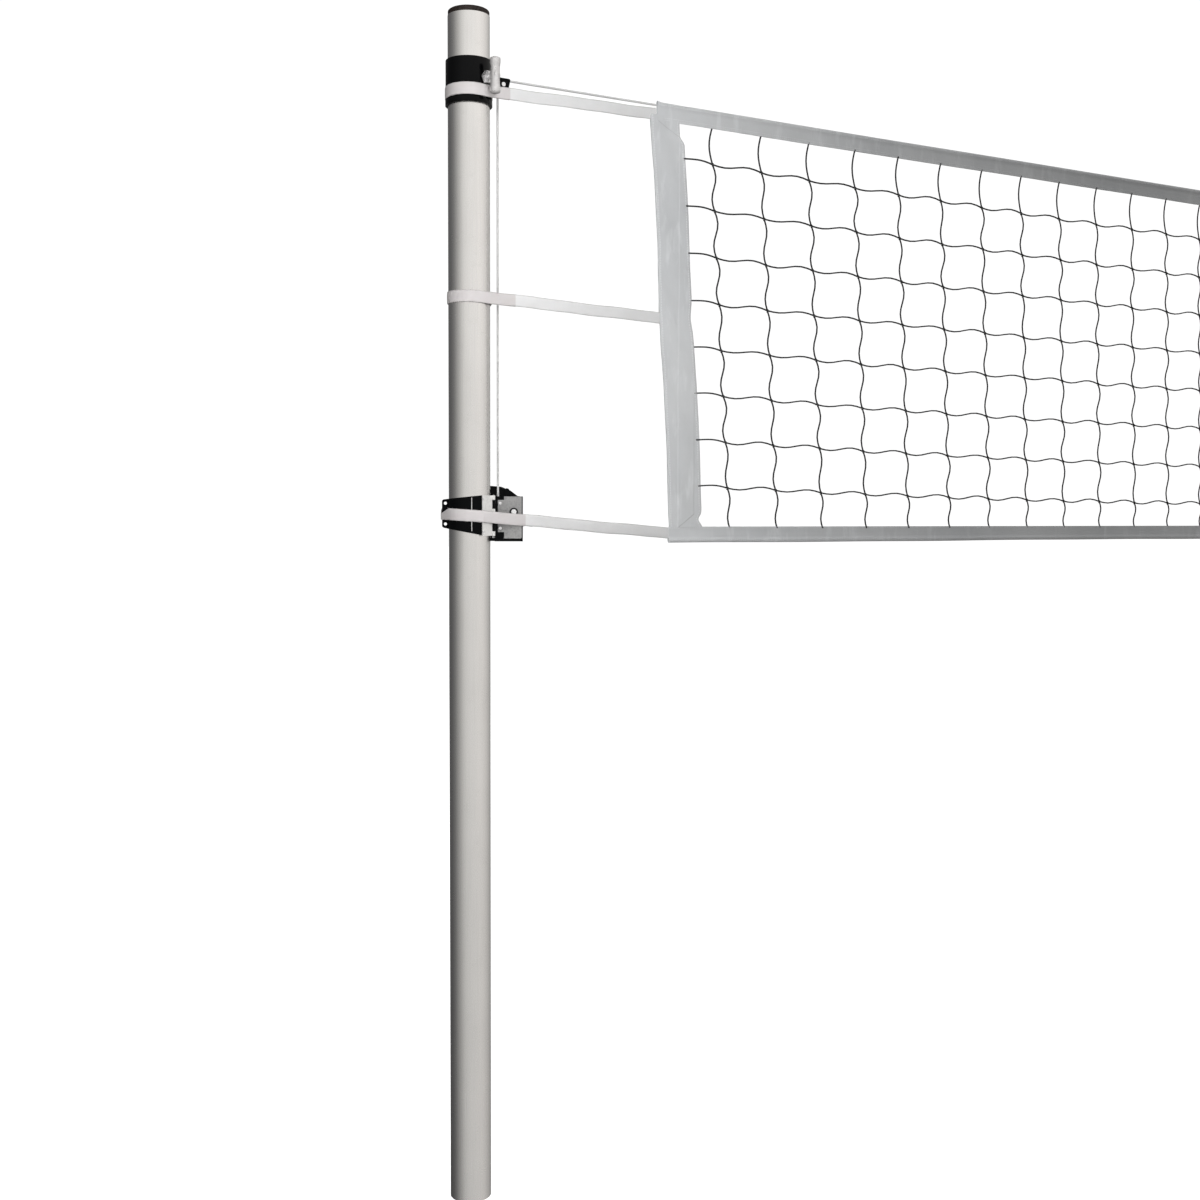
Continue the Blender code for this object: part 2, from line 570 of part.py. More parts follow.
def straps(side, frame, has_winch):
    """The three webbing straps that tie the net's end to the pole."""
    def ring(radius):
        return circle(radius + WEBBING_T / 2, count=48)[:-1]

    def top(x):
        return TOP_STRAP_Z + TOP_STRAP_RISE * max(x - TOP_STRAP_BEND, 0)

    def middle(x):
        return MIDDLE_STRAP_Z - MIDDLE_STRAP_DROP * x

    def bottom(x):
        return BOTTOM_STRAP_Z - BOTTOM_STRAP_DROP * x

    on_pole = ring(POLE_R + SLIDE_GAP)
    held = on_pole
    if has_winch:
        turn = Matrix.Rotation(math.radians(WINCH_TURN), 2)
        space = WEBBING_T / 2 + 0.0006
        corners = [(-0.0590 - space, -0.0035), (-0.0590 - space, 0.0035), (0.1145 + space, 0.0505 + space),
                   (0.1145 + space, 0.0020), (0.1006, -0.0054 - space), (0.0890, -0.0054 - space),
                   (0.0297, -0.0466), (0.0335, -0.0430), (0.0546, -0.0245), (0.0425, 0.0505 + space)]
        held = ring(SHELL_R + SHELL_T / 2 + 0.0022) + corners
        held = [tuple(turn @ Vector(p)) for p in held]
    low_pinch, low_tail = (0.113, 0.130) if has_winch else (0.034, 0.100)
    for name, height, round_what, end_x, pinch_x, tail_x in (
            ("top", top, ring(COLLAR_GROOVE_R + GAP), 0.4488, 0.034, 0.0764),
            ("middle", middle, on_pole, 0.4752, 0.034, 0.0925),
            ("bottom", bottom, held, 0.5025, low_pinch, low_tail)):
        path = strap_path(round_what, (end_x, 0.0), pinch_x, tail_x)
        low, high = (lambda x, h=height, w=w: h(x) + w for w in (-WEBBING / 2, WEBBING / 2))
        place(f"{side}_{name}_strap", ribbon(path, WEBBING_T, low, high), "webbing", frame)


def cable_ends(frame):
    """The fixed eye's thimble and ferrule at the plain pole."""
    place("cable_thimble", grooved_wheel(0.0118, 0.0034, 0.0031), "zinc", frame, across(WHEEL_X, WHEEL_Z))
    strand = 2 * CABLE_R + 0.0003
    middle = CABLE_Z - strand / 2
    hole_r, wall = CABLE_R + GAP, 0.0012

    def oval(radius):
        up = circle(radius, (0, middle + strand / 2), 0, 180, 12)
        return up + circle(radius, (0, middle - strand / 2), 180, 360, 12)

    ferrule = place("cable_ferrule", prism(oval(hole_r + wall), 0.130, 0.155), "zinc", frame,
                    Matrix(((0, 0, 1, 0), (1, 0, 0, 0), (0, 1, 0, 0), (0, 0, 0, 1))))
    hole = (prism(oval(hole_r), 0.12, 0.17), ferrule.matrix_basis)
    combine(ferrule, [hole], "DIFFERENCE")


def cable():
    """The top cable: from its eye at the plain pole, through the hem, over the wheel, to the drum."""
    plain, winch_side = POLE_SPACING / 2, -POLE_SPACING / 2
    strand = CABLE_Z - 2 * CABLE_R - 0.0003
    eye = circle(BEND_R, (WHEEL_X, WHEEL_Z), 270, 90, 12)
    tail = [(0.162, strand), (0.128, strand), (0.120, strand - 0.0012), (0.108, strand - 0.0068),
            (0.097, strand - 0.0122), (0.088, strand - 0.0150)]
    near_plain = [(plain - x, 0, z) for x, z in [*tail, *eye, (0.128, CABLE_Z)]]
    bend = circle(BEND_R, (WHEEL_X, WHEEL_Z), 90, 180, 8)
    near_winch = [(winch_side + x, 0, z) for x, z in [(0.128, CABLE_Z), *bend, (CABLE_X, DRUM_AT[1])]]
    cord("net_cable", near_plain + near_winch, CABLE_R, "coated_cable")


def net():
    """The net: top and bottom hems, leaning end bands, the netting between them and the hem's rope."""
    half = POLE_SPACING / 2
    under_top = NET_TOP - TOP_BAND
    over_bottom = NET_BOTTOM + BOTTOM_BAND

    def edge(z, offset=0.0):
        return half - TAPE_START - offset - LEAN * (LEAN_FROM - z)

    def along_x(section, reach):
        turn = Matrix(((0, 0, 1, 0), (1, 0, 0, 0), (0, 1, 0, 0), (0, 0, 0, 1)))
        return prism(section, -reach, reach), turn

    top_reach, bottom_reach = half - BAND_START, half - BOTTOM_START
    thin, neck, thick = 0.0022, 0.0024, 0.0044
    section = [(-thin, under_top), (thin, under_top), (neck, 2.4120), (thick, 2.4175), (thick, 2.4260),
               (thin, NET_TOP), (-thin, NET_TOP), (-thick, 2.4260), (-thick, 2.4175), (-neck, 2.4120)]
    shape, turn = along_x(section, top_reach)
    band = place("top_band", shape, "vinyl", None, turn, smooth=False)
    tunnel = axis_frame((0, 0, CABLE_Z), (1, 0, 0))
    combine(band, [(rod(CABLE_R + 0.0007, -half, half, 16), tunnel)], "DIFFERENCE")

    rope_z, rope_r = NET_BOTTOM + 0.0085, 0.0022
    section = [(-0.0032, NET_BOTTOM), (0.0032, NET_BOTTOM), (0.0040, rope_z), (0.0036, rope_z + 0.005),
               (0.0022, rope_z + 0.010), (0.0022, over_bottom), (-0.0022, over_bottom),
               (-0.0022, rope_z + 0.010), (-0.0036, rope_z + 0.005), (-0.0040, rope_z)]
    shape, turn = along_x(section, bottom_reach)
    band = place("bottom_band", shape, "vinyl", None, turn, smooth=False)
    tunnel = axis_frame((0, 0, rope_z), (1, 0, 0))
    combine(band, [(rod(rope_r + 0.0005, -half, half, 12), tunnel)], "DIFFERENCE")
    inside = bottom_reach - 0.004
    cord("bottom_rope", [(-inside, 0, rope_z), (0, 0, rope_z), (inside, 0, rope_z)], rope_r, "net_cord")

    tape_low = over_bottom + GAP
    tape_high = under_top - GAP
    tape = [(edge(TAPE_TOP), TAPE_TOP), (top_reach + GAP, TAPE_TOP), (top_reach + GAP, tape_high),
            (edge(tape_high, TAPE_WIDTH), tape_high), (edge(tape_low, TAPE_WIDTH), tape_low),
            (edge(tape_low), tape_low)]
    for side, sign in (("left", -1), ("right", 1)):
        outline = [(sign * x, z) for x, z in tape]
        place(f"{side}_end_band", prism(outline, -0.0022, 0.0022), "vinyl", None, upright(), smooth=False)
    inner = TAPE_WIDTH + GAP
    netting = [(-edge(tape_high, inner), tape_high), (edge(tape_high, inner), tape_high),
               (edge(tape_low, inner), tape_low), (-edge(tape_low, inner), tape_low)]
    place("netting", prism(netting, -0.0018, 0.0018), "net_cord", None, upright(), smooth=False)


def build():
    clear_scene()
    half = POLE_SPACING / 2
    left = empty("left_pole_base", Matrix.Translation((-half, 0, 0)))
    right = empty("right_pole_base", Matrix.Translation((half, 0, 0)) @ Matrix.Rotation(math.pi, 4, "Z"))
    for side, frame in (("left", left), ("right", right)):
        pole(side, frame)
        collar(side, frame)
        bracket(side, frame)
        straps(side, frame, side == "left")
    wheel_axis = empty("pulley_axis", across(WHEEL_X, WHEEL_Z), left)
    place("pulley_wheel", grooved_wheel(0.0122, 0.0036, 0.0032), "nylon", wheel_axis)
    winch = empty("winch_mount", Matrix.Rotation(math.radians(WINCH_TURN), 4, "Z"), left)
    clamp_shells(winch)
    hinge(winch)
    winch_box(winch)
    winch_train(winch)
    cable_ends(right)
    cable()
    net()


build()
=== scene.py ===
"""Looks for the volleyball net on poles: cloth, cord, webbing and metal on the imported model."""

import json
import math

import bmesh
import bpy
import numpy as np
from mathutils import Matrix, Vector


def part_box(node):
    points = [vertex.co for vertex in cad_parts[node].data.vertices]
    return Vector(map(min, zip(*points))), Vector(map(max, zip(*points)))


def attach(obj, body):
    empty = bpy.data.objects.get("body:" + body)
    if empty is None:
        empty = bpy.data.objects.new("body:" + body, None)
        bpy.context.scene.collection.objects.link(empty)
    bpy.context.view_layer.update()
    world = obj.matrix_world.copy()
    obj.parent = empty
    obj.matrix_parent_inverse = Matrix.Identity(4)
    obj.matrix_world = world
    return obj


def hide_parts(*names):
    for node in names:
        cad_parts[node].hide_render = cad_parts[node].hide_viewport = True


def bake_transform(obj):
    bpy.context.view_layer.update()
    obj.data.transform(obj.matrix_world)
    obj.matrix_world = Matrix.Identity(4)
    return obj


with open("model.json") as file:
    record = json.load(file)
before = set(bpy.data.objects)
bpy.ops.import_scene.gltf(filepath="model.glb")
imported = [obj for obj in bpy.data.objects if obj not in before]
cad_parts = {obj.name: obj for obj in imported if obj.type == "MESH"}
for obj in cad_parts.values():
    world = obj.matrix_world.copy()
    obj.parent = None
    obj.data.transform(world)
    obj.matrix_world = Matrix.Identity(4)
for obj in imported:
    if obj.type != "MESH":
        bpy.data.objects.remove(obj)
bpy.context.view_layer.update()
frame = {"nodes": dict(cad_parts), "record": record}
NODES = frame["nodes"]
JOINTS = {joint["name"]: joint for joint in frame["record"]["behaviour"]["joints"]}
SLOT_OF = {part["node"]: part["material_slot"] for part in frame["record"]["subparts"]}
BODY_OF = {node: body for body, nodes in frame["record"]["behaviour"]["bodies"].items() for node in nodes}
SIDES = (("left", -1), ("right", 1))


def middle(node):
    """The centre of a CAD node's box."""
    low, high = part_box(node)
    return (Vector(low) + Vector(high)) / 2


def size(node):
    low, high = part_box(node)
    return Vector(high) - Vector(low)


def heights(node):
    """A CAD node's lowest and highest Z."""
    low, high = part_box(node)
    return low[2], high[2]


HALF = middle("right_pole").x
POLE_R = size("right_pole").x / 2
WINCH_TURN = math.atan2(-JOINTS["drum_spin"]["axis"][0], JOINTS["drum_spin"]["axis"][1])
SCREW_Z = JOINTS["left_clamp_turn"]["pos_m"][2]
SCREW_TURN = math.atan2(*JOINTS["left_clamp_turn"]["axis"][1::-1])
WHEEL_X = JOINTS["pulley_spin"]["pos_m"][0] + HALF
WHEEL_Z = JOINTS["pulley_spin"]["pos_m"][2]
TOP_BAND_LOW, NET_TOP = heights("top_band")
NET_BOTTOM, BOTTOM_BAND_HIGH = heights("bottom_band")
BAND_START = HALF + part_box("top_band")[0][0]
BOTTOM_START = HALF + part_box("bottom_band")[0][0]
TAPE_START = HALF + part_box("left_end_band")[0][0]
TAPE_TOP = heights("left_end_band")[1]

# sizes that no box gives
CABLE_R = 0.0024
BEND_R = 0.0105
CABLE_Z = WHEEL_Z + BEND_R
CABLE_X = WHEEL_X - BEND_R
BORE_R = 0.0412
COLLAR_R, COLLAR_RING_R, COLLAR_GROOVE_R = 0.0490, 0.0497, 0.0480
SLIDE_GAP = 0.00055
HANDLE_REACH = 0.0777
WEBBING = 0.0254
STRAP_T = 0.0018
TOP_STRAP_Z, TOP_STRAP_RISE, TOP_STRAP_BEND = 2.382, 0.050, 0.035
MIDDLE_STRAP_Z, MIDDLE_STRAP_DROP = 1.954, 0.018
BOTTOM_STRAP_Z, BOTTOM_STRAP_DROP = 1.4916, 0.0755
TAPE_WIDTH = 0.090
LEAN, LEAN_FROM = 0.0602, 2.400
SEAMS = (0.0030, 0.0075, 0.0345, 0.0385)
SEAMED_WIDTH = 0.0415
FRONT_FACING = (0, 1, 0)


def pole_frame(side):
    """The pole's own frame, whose +X points at the net."""
    turn = Matrix.Rotation(math.pi, 4, "Z") if side == "right" else Matrix.Identity(4)
    return Matrix.Translation((HALF if side == "right" else -HALF, 0, 0)) @ turn


WINCH = pole_frame("left") @ Matrix.Rotation(WINCH_TURN, 4, "Z")


def tape_edge(z):
    """Distance from the pole's axis to the net's end at a height: it leans in towards the floor."""
    return TAPE_START + LEAN * (LEAN_FROM - z)


# Camera, stage and light

def look(yaw, pitch, roll):
    """A camera's rotation, its yaw counted from +Y towards +X."""
    forward = Vector((math.sin(yaw) * math.cos(pitch), math.cos(yaw) * math.cos(pitch), math.sin(pitch)))
    right = Vector((math.cos(yaw), -math.sin(yaw), 0))
    up = right.cross(forward)
    right = right * math.cos(roll) + up * math.sin(roll)
    up = right.cross(forward)
    return Matrix((right, up, -forward)).transposed().to_4x4()


def placed(name, data):
    """A new object in the scene."""
    made = bpy.data.objects.new(name, data)
    bpy.context.scene.collection.objects.link(made)
    return made


def make_camera():
    data = bpy.data.cameras.new("camera")
    data.lens, data.sensor_width = 45, 36
    data.clip_end = 200
    camera = placed("camera", data)
    turn = look(math.radians(29.707), math.radians(-3.279), math.radians(0.171))
    camera.matrix_world = Matrix.Translation((-HALF - 1.356, -2.943, 1.497)) @ turn
    bpy.context.scene.camera = camera


def area_light(name, at, target, width, height, power, colour):
    """A rectangle of light that neither the camera nor a reflection shows."""
    data = bpy.data.lights.new(name, "AREA")
    data.shape = "RECTANGLE"
    data.size, data.size_y, data.energy, data.color = width, height, power, colour
    light = placed(name, data)
    aim = (Vector(target) - Vector(at)).to_track_quat("-Z", "Y")
    light.matrix_world = Matrix.Translation(at) @ aim.to_matrix().to_4x4()
    light.visible_camera = False
    light.visible_glossy = False


class Graph:
    """Adds nodes to a tree; iN names an input by its number, and a value may be another node's output."""

    def __init__(self, tree):
        self.tree = tree

    def node(self, kind, **inputs):
        made = self.tree.nodes.new(kind)
        for socket, value in inputs.items():
            numbered = socket[0] == "i" and socket[1:].isdigit()
            target = made.inputs[int(socket[1:]) if numbered else socket]
            if isinstance(value, bpy.types.NodeSocket):
                self.tree.links.new(value, target)
            else:
                target.default_value = value
        return made

    def math(self, operation, one, two=0.0, three=0.0):
        made = self.node("ShaderNodeMath", i0=one, i1=two, i2=three)
        made.operation = operation
        return made.outputs[0]

    def span(self, value, low, high, to_low=0.0, to_high=1.0):
        return self.node("ShaderNodeMapRange", i0=value, i1=low, i2=high, i3=to_low, i4=to_high).outputs[0]


def make_world():
    """White to the camera; to the object a studio, dark on one side and brighter above."""
    world = bpy.data.worlds.new("studio")
    bpy.context.scene.world = world
    world.use_nodes = True
    world.node_tree.nodes.clear()
    work = Graph(world.node_tree)
    coords = work.node("ShaderNodeTexCoord")
    split = work.node("ShaderNodeSeparateXYZ", Vector=coords.outputs["Generated"])
    path = work.node("ShaderNodeLightPath")
    turn = work.math("ARCTAN2", split.outputs["X"], split.outputs["Y"])
    around = work.math("MULTIPLY_ADD", turn, 1 / (2 * math.pi), 0.5)
    ramp = work.node("ShaderNodeValToRGB", Fac=around)
    stops = [
        (0.07, (0.90, 0.89, 0.875)), (0.15, (0.80, 0.795, 0.78)), (0.226, (0.50, 0.495, 0.485)),
        (0.32, (0.20, 0.20, 0.20)), (0.40, (0.12, 0.12, 0.122)), (0.47, (0.11, 0.11, 0.112)),
        (0.55, (0.18, 0.18, 0.18)), (0.66, (0.42, 0.415, 0.405)), (0.744, (0.67, 0.655, 0.64)),
        (0.84, (0.88, 0.86, 0.84)), (0.91, (0.96, 0.94, 0.92)),
    ]
    for end in ramp.color_ramp.elements:
        end.color = (0.92, 0.91, 0.895, 1)
    for position, colour in stops:
        ramp.color_ramp.elements.new(position).color = (*colour, 1)
    rise = work.span(split.outputs["Z"], -0.42, 0.30, 0.62, 1.04)
    # full strength in reflections, about a third as light
    share = work.math("MULTIPLY_ADD", path.outputs["Is Glossy Ray"], 0.65, 0.35)
    strength = work.math("MULTIPLY", rise, share)
    studio = work.node("ShaderNodeBackground", Color=ramp.outputs["Color"], Strength=strength)
    white = work.node("ShaderNodeBackground", Color=(1, 1, 1, 1), Strength=1.05)
    mix = work.node("ShaderNodeMixShader", Fac=path.outputs["Is Camera Ray"], i1=studio.outputs[0],
                    i2=white.outputs[0])
    work.node("ShaderNodeOutputWorld", Surface=mix.outputs[0])


# Materials

def material(name, colour, roughness, metallic=0.0, **sockets):
    made = bpy.data.materials.new(name)
    made.use_nodes = True
    shader = made.node_tree.nodes["Principled BSDF"]
    shader.inputs["Base Color"].default_value = (*colour, 1)
    shader.inputs["Roughness"].default_value = roughness
    shader.inputs["Metallic"].default_value = metallic
    for socket, value in sockets.items():
        shader.inputs[socket.replace("_", " ")].default_value = value
    made.diffuse_color = (*colour, 1)
    return made


class Nodes(Graph):
    """Adds procedural detail to a material, one call for each effect."""

    def __init__(self, made):
        super().__init__(made.node_tree)
        self.shader = self.tree.nodes["Principled BSDF"]
        self.coords = self.node("ShaderNodeTexCoord")

    def mapped(self, scale=(1, 1, 1), source="Object", turn=(0, 0, 0)):
        vector = self.coords.outputs[source]
        return self.node("ShaderNodeMapping", Vector=vector, Scale=scale, Rotation=turn).outputs[0]

    def noise(self, scale, detail=3.0, vector=None, roughness=0.5):
        vector = vector or self.mapped()
        made = self.node("ShaderNodeTexNoise", Vector=vector, Scale=scale, Detail=detail,
                         Roughness=roughness)
        return made.outputs["Fac"]

    def wave(self, scale, axis, vector):
        made = self.node("ShaderNodeTexWave", Vector=vector, Scale=scale)
        made.bands_direction = axis
        return made.outputs["Fac"]

    def blend(self, factor, one, two):
        one, two = (c if isinstance(c, bpy.types.NodeSocket) else (*c, 1) for c in (one, two))
        made = self.node("ShaderNodeMix", i0=factor, i6=one, i7=two)
        made.data_type = "RGBA"
        return made.outputs[2]

    def colour(self, value):
        self.tree.links.new(value, self.shader.inputs["Base Color"])

    def roughness(self, value):
        self.tree.links.new(value, self.shader.inputs["Roughness"])

    def bump(self, height, strength, distance):
        made = self.node("ShaderNodeBump", Height=height, Strength=strength, Distance=distance)
        if self.shader.inputs["Normal"].is_linked:
            before = self.shader.inputs["Normal"].links[0].from_socket
            self.tree.links.new(before, made.inputs["Normal"])
        self.tree.links.new(made.outputs[0], self.shader.inputs["Normal"])


def metal(name, colour, roughness, metallic, grain, stretch, strength, wear=1.0):
    """A metal with a fine grain and its specks, cloudy tarnish and slight handling marks."""
    made = material(name, colour, roughness, metallic)
    work = Nodes(made)
    fine = work.noise(grain, 4, work.mapped(stretch))
    cloud = work.noise(9, 4)
    mark = work.span(work.noise(38, 6, roughness=0.7), 0.58, 0.70)
    dark = tuple(channel * 0.82 for channel in colour)
    base = work.blend(work.span(cloud, 0.35, 0.7, 0, 0.7 * wear), colour, dark)
    worn = tuple(channel * 0.68 for channel in colour)
    base = work.blend(work.span(fine, 0.50, 0.66, 0, 0.30 * wear), base, worn)
    work.colour(work.blend(work.math("MULTIPLY", mark, 0.35 * wear), base, worn))
    rough = work.span(fine, 0.3, 0.7, roughness * (1 - 0.18 * wear), roughness * (1 + 0.2 * wear))
    work.roughness(work.math("MULTIPLY_ADD", mark, 0.12 * wear, rough))
    work.bump(fine, strength, 0.0003)
    return made


def painted(name, colour, roughness, level):
    """Black coating: orange peel, dust and rubbed patches."""
    made = material(name, colour, roughness, Specular_IOR_Level=level)
    work = Nodes(made)
    rub = work.span(work.noise(22, 5, roughness=0.65), 0.55, 0.72)
    dust = work.span(work.noise(7, 3), 0.45, 0.75)
    worn = tuple(channel * 1.6 + 0.003 for channel in colour)
    work.colour(work.blend(work.math("MULTIPLY", dust, 0.4), colour, worn))
    work.roughness(work.span(rub, 0, 1, roughness, roughness * 1.5))
    work.bump(work.noise(420, 2), 0.08, 0.0003)
    return made


def cloth(name, colour, shade, weave, stitches, stitch_colour, mitred=False):
    """Coated cloth whose UV is metres along and across the strip: weave, creases, soiling and seams.
    A mitred one also shows the corner folds of the end tapes, with painted shade along the folds and along
    the tape's edge by the pole."""
    made = material(name, colour, 0.52, Sheen_Weight=0.15, Sheen_Roughness=0.5)
    work = Nodes(made)
    flat = work.mapped(source="UV")
    warp = work.wave(weave, "X", flat)
    weft = work.wave(weave, "Y", flat)
    threads = work.math("MAXIMUM", warp, weft)
    soil = work.noise(3.2, 5, roughness=0.6)
    cloud = work.noise(14, 4)
    base = work.blend(work.span(soil, 0.35, 0.72), colour, shade)
    base = work.blend(work.span(cloud, 0.4, 0.75, 0, 0.35), base, tuple(c * 0.86 for c in colour))
    streak = work.noise(30, 4, work.mapped((1, 1, 0.25), turn=(0, 0.6, 0)), 0.6)
    base = work.blend(work.span(streak, 0.54, 0.68, 0, 0.55), base, tuple(c * 1.20 for c in colour))
    split = work.node("ShaderNodeSeparateXYZ", Vector=work.coords.outputs["UV"])
    per_metre, gap, half_width = 170.0, 0.3, 0.00055
    along = work.math("FRACT", work.math("MULTIPLY", split.outputs[0], per_metre))
    dash = work.math("GREATER_THAN", along, gap)
    lines = None
    for place in stitches:
        off = work.math("ABSOLUTE", work.math("SUBTRACT", split.outputs[1], place))
        near = work.math("LESS_THAN", off, half_width)
        lines = near if lines is None else work.math("MAXIMUM", lines, near)
    thread = work.math("MULTIPLY", lines, dash)
    if mitred:
        # the corner folds: a bump step, and painted shade along each fold
        base = corner_folds_and_shade(work, base, tuple(c * 0.45 for c in colour))
        # the tape's edge by the pole is painted darker: painted shade along the edge
        edge = work.span(split.outputs[1], 0.0002, 0.0010, 0.5, 0.0)
        base = work.blend(edge, base, tuple(c * 0.45 for c in colour))
    work.colour(work.blend(work.math("MULTIPLY", thread, 0.6), base, stitch_colour))
    work.roughness(work.span(soil, 0.3, 0.75, 0.46, 0.62))
    work.bump(threads, 0.03, 0.0002)
    work.bump(work.noise(22, 3, work.mapped((1, 1, 0.55), turn=(0, 0.5, 0))), 0.35, 0.003)
    work.bump(thread, 0.5, 0.0005)
    return made


def corner_folds_and_shade(work, base, dark):
    """The slanting folds near an end tape's corners, in distance from the pole's axis and height: each fold
    gets a bump step and a line of painted shade.
    """
    local = work.node("ShaderNodeSeparateXYZ", Vector=work.coords.outputs["Object"])
    inward = work.math("SUBTRACT", HALF, work.math("ABSOLUTE", local.outputs[0]))
    fade = 0.004
    for start, height, end, rise in ((0.467, 2.3905, 0.560, -0.5216), (0.527, 1.4645, 0.576, 0.695)):
        run = work.math("SUBTRACT", inward, start)
        off = work.math("SUBTRACT", work.math("MULTIPLY_ADD", run, -rise, local.outputs[2]), height)
        within = work.math("MULTIPLY", work.span(inward, start, start + fade),
                           work.span(inward, end - fade, end, 1.0, 0.0))
        near = work.span(work.math("ABSOLUTE", off), 0.0002, 0.0013, 1.0, 0.0)
        line = work.math("MULTIPLY", near, within)
        # painted shade along the fold line
        base = work.blend(work.math("MULTIPLY", line, 0.45), base, dark)
        work.bump(work.math("MULTIPLY", work.span(off, -0.0010, 0.0010), within), 0.5, 0.0012)
    return base


def make_materials():
    made = {
        "aluminium": metal("anodised", (0.88, 0.865, 0.845), 0.27, 1.0, 260, (1, 1, 0.03), 0.02, 0.3),
        "zinc": metal("zinc_plate", (0.94, 0.94, 0.93), 0.36, 0.85, 300, (1, 1, 1), 0.25, 1.2),
        "dull_zinc": metal("dull_zinc_plate", (0.42, 0.42, 0.422), 0.42, 0.8, 260, (1, 1, 1), 0.30, 2.2),
        "cast_zinc": metal("silver_casting", (0.64, 0.63, 0.63), 0.34, 0.60, 320, (1, 1, 1), 0.55, 1.6),
        "steel": metal("plated_steel", (0.90, 0.90, 0.91), 0.24, 0.8, 500, (1, 1, 1), 0.12),
        "black_paint": painted("gloss_black", (0.0012, 0.0014, 0.0017), 0.10, 0.06),
        "collar_paint": painted("collar_black", (0.0006, 0.0007, 0.0009), 0.13, 0.12),
        "nylon": painted("black_nylon", (0.010, 0.010, 0.011), 0.42, 0.3),
    }
    rubber = material("cap_rubber", (0.016, 0.012, 0.011), 0.62, Specular_IOR_Level=0.2)
    work = Nodes(rubber)
    bloom = work.span(work.noise(30, 5), 0.45, 0.8)
    work.colour(work.blend(bloom, (0.015, 0.011, 0.010), (0.034, 0.025, 0.022)))
    work.bump(work.noise(900, 3), 0.3, 0.0003)
    made["rubber"] = rubber

    pale, shade, thread = (0.582, 0.599, 0.614), (0.480, 0.499, 0.518), (0.74, 0.76, 0.78)
    made["vinyl"] = cloth("coated_cloth", pale, shade, 260, SEAMS, thread)
    made["mitred_vinyl"] = cloth("mitred_cloth", pale, shade, 260, SEAMS[::3], thread, True)

    webbing = material("webbing", (0.66, 0.65, 0.65), 0.78, Sheen_Weight=0.25, Sheen_Roughness=0.4)
    work = Nodes(webbing)
    flat = work.mapped(source="UV")
    ribs = work.wave(230, "X", flat)
    cords = work.wave(115, "Y", flat)
    soil = work.noise(16, 5, flat, 0.6)
    layer = work.node("ShaderNodeAttribute")
    layer.attribute_name = "layers"
    soiled = work.span(soil, 0.4, 0.75, 0, 0.6)
    single = work.blend(soiled, (0.645, 0.652, 0.662), (0.57, 0.575, 0.58))
    # over the doubled part and the wrap, the same webbing takes this darker copy of its colour: painted
    # shade
    doubled_shade = work.blend(soiled, (0.520, 0.502, 0.508), (0.470, 0.452, 0.457))
    base = work.blend(layer.outputs["Fac"], single, doubled_shade)
    # the webbing's long edges are painted darker: painted shade along the edges
    split = work.node("ShaderNodeSeparateXYZ", Vector=work.coords.outputs["UV"])
    off_centre = work.math("ABSOLUTE", work.math("SUBTRACT", split.outputs[1], WEBBING / 2))
    painted_edge_shade = work.span(off_centre, 0.0109, 0.0122, 0.0, 0.65)
    work.colour(work.blend(painted_edge_shade, base, (0.25, 0.24, 0.24)))
    work.bump(ribs, 0.25, 0.0003)
    work.bump(cords, 0.35, 0.0004)
    made["webbing"] = webbing

    cord = material("net_cord", (0.026, 0.028, 0.031), 0.75, Sheen_Weight=0.05)
    work = Nodes(cord)
    lay = work.wave(95, "X", work.mapped((1, 0.012, 1), "UV", (0, 0, 0.6)))
    # darker where the lay's bump is low: painted shade in the grooves between strands
    work.colour(work.blend(lay, (0.009, 0.010, 0.011), (0.026, 0.027, 0.029)))
    work.bump(lay, 0.6, 0.0006)
    made["net_cord"] = cord

    cable = material("coated_cable", (0.72, 0.73, 0.74), 0.30, Coat_Weight=0.6, Coat_Roughness=0.15)
    work = Nodes(cable)
    lay = work.wave(700, "X", work.mapped((1, 0.03, 1), "UV", (0, 0, 0.5)))
    work.colour(work.blend(lay, (0.50, 0.505, 0.51), (0.60, 0.605, 0.61)))
    work.bump(lay, 0.05, 0.0002)
    made["coated_cable"] = cable

    made["floor"] = make_floor_material()
    return made


def make_floor_material():
    """A floor that shows white, but lights the object as a duller one and stays out of reflections."""
    floor = material("floor", (0.90, 0.90, 0.90), 1.0, Specular_IOR_Level=0.0, Emission_Color=(1, 1, 1, 1),
                     Emission_Strength=1.0)
    work = Nodes(floor)
    path = work.node("ShaderNodeLightPath")
    dull = work.node("ShaderNodeBsdfDiffuse", Color=(0.40, 0.39, 0.375, 1))
    clear = work.node("ShaderNodeBsdfTransparent")
    lit = work.node("ShaderNodeMixShader", Fac=path.outputs["Is Glossy Ray"], i1=dull.outputs[0],
                    i2=clear.outputs[0])
    mix = work.node("ShaderNodeMixShader", Fac=path.outputs["Is Camera Ray"], i1=lit.outputs[0],
                    i2=work.shader.outputs[0])
    work.tree.links.new(mix.outputs[0], work.tree.nodes["Material Output"].inputs["Surface"])
    return floor


MATERIALS = make_materials()


# Shapes

WELD = 1e-6


def cells(grid):
    """The four corners of each of a grid's cells."""
    return np.stack([grid[:-1, :-1], grid[:-1, 1:], grid[1:, 1:], grid[1:, :-1]], axis=2)


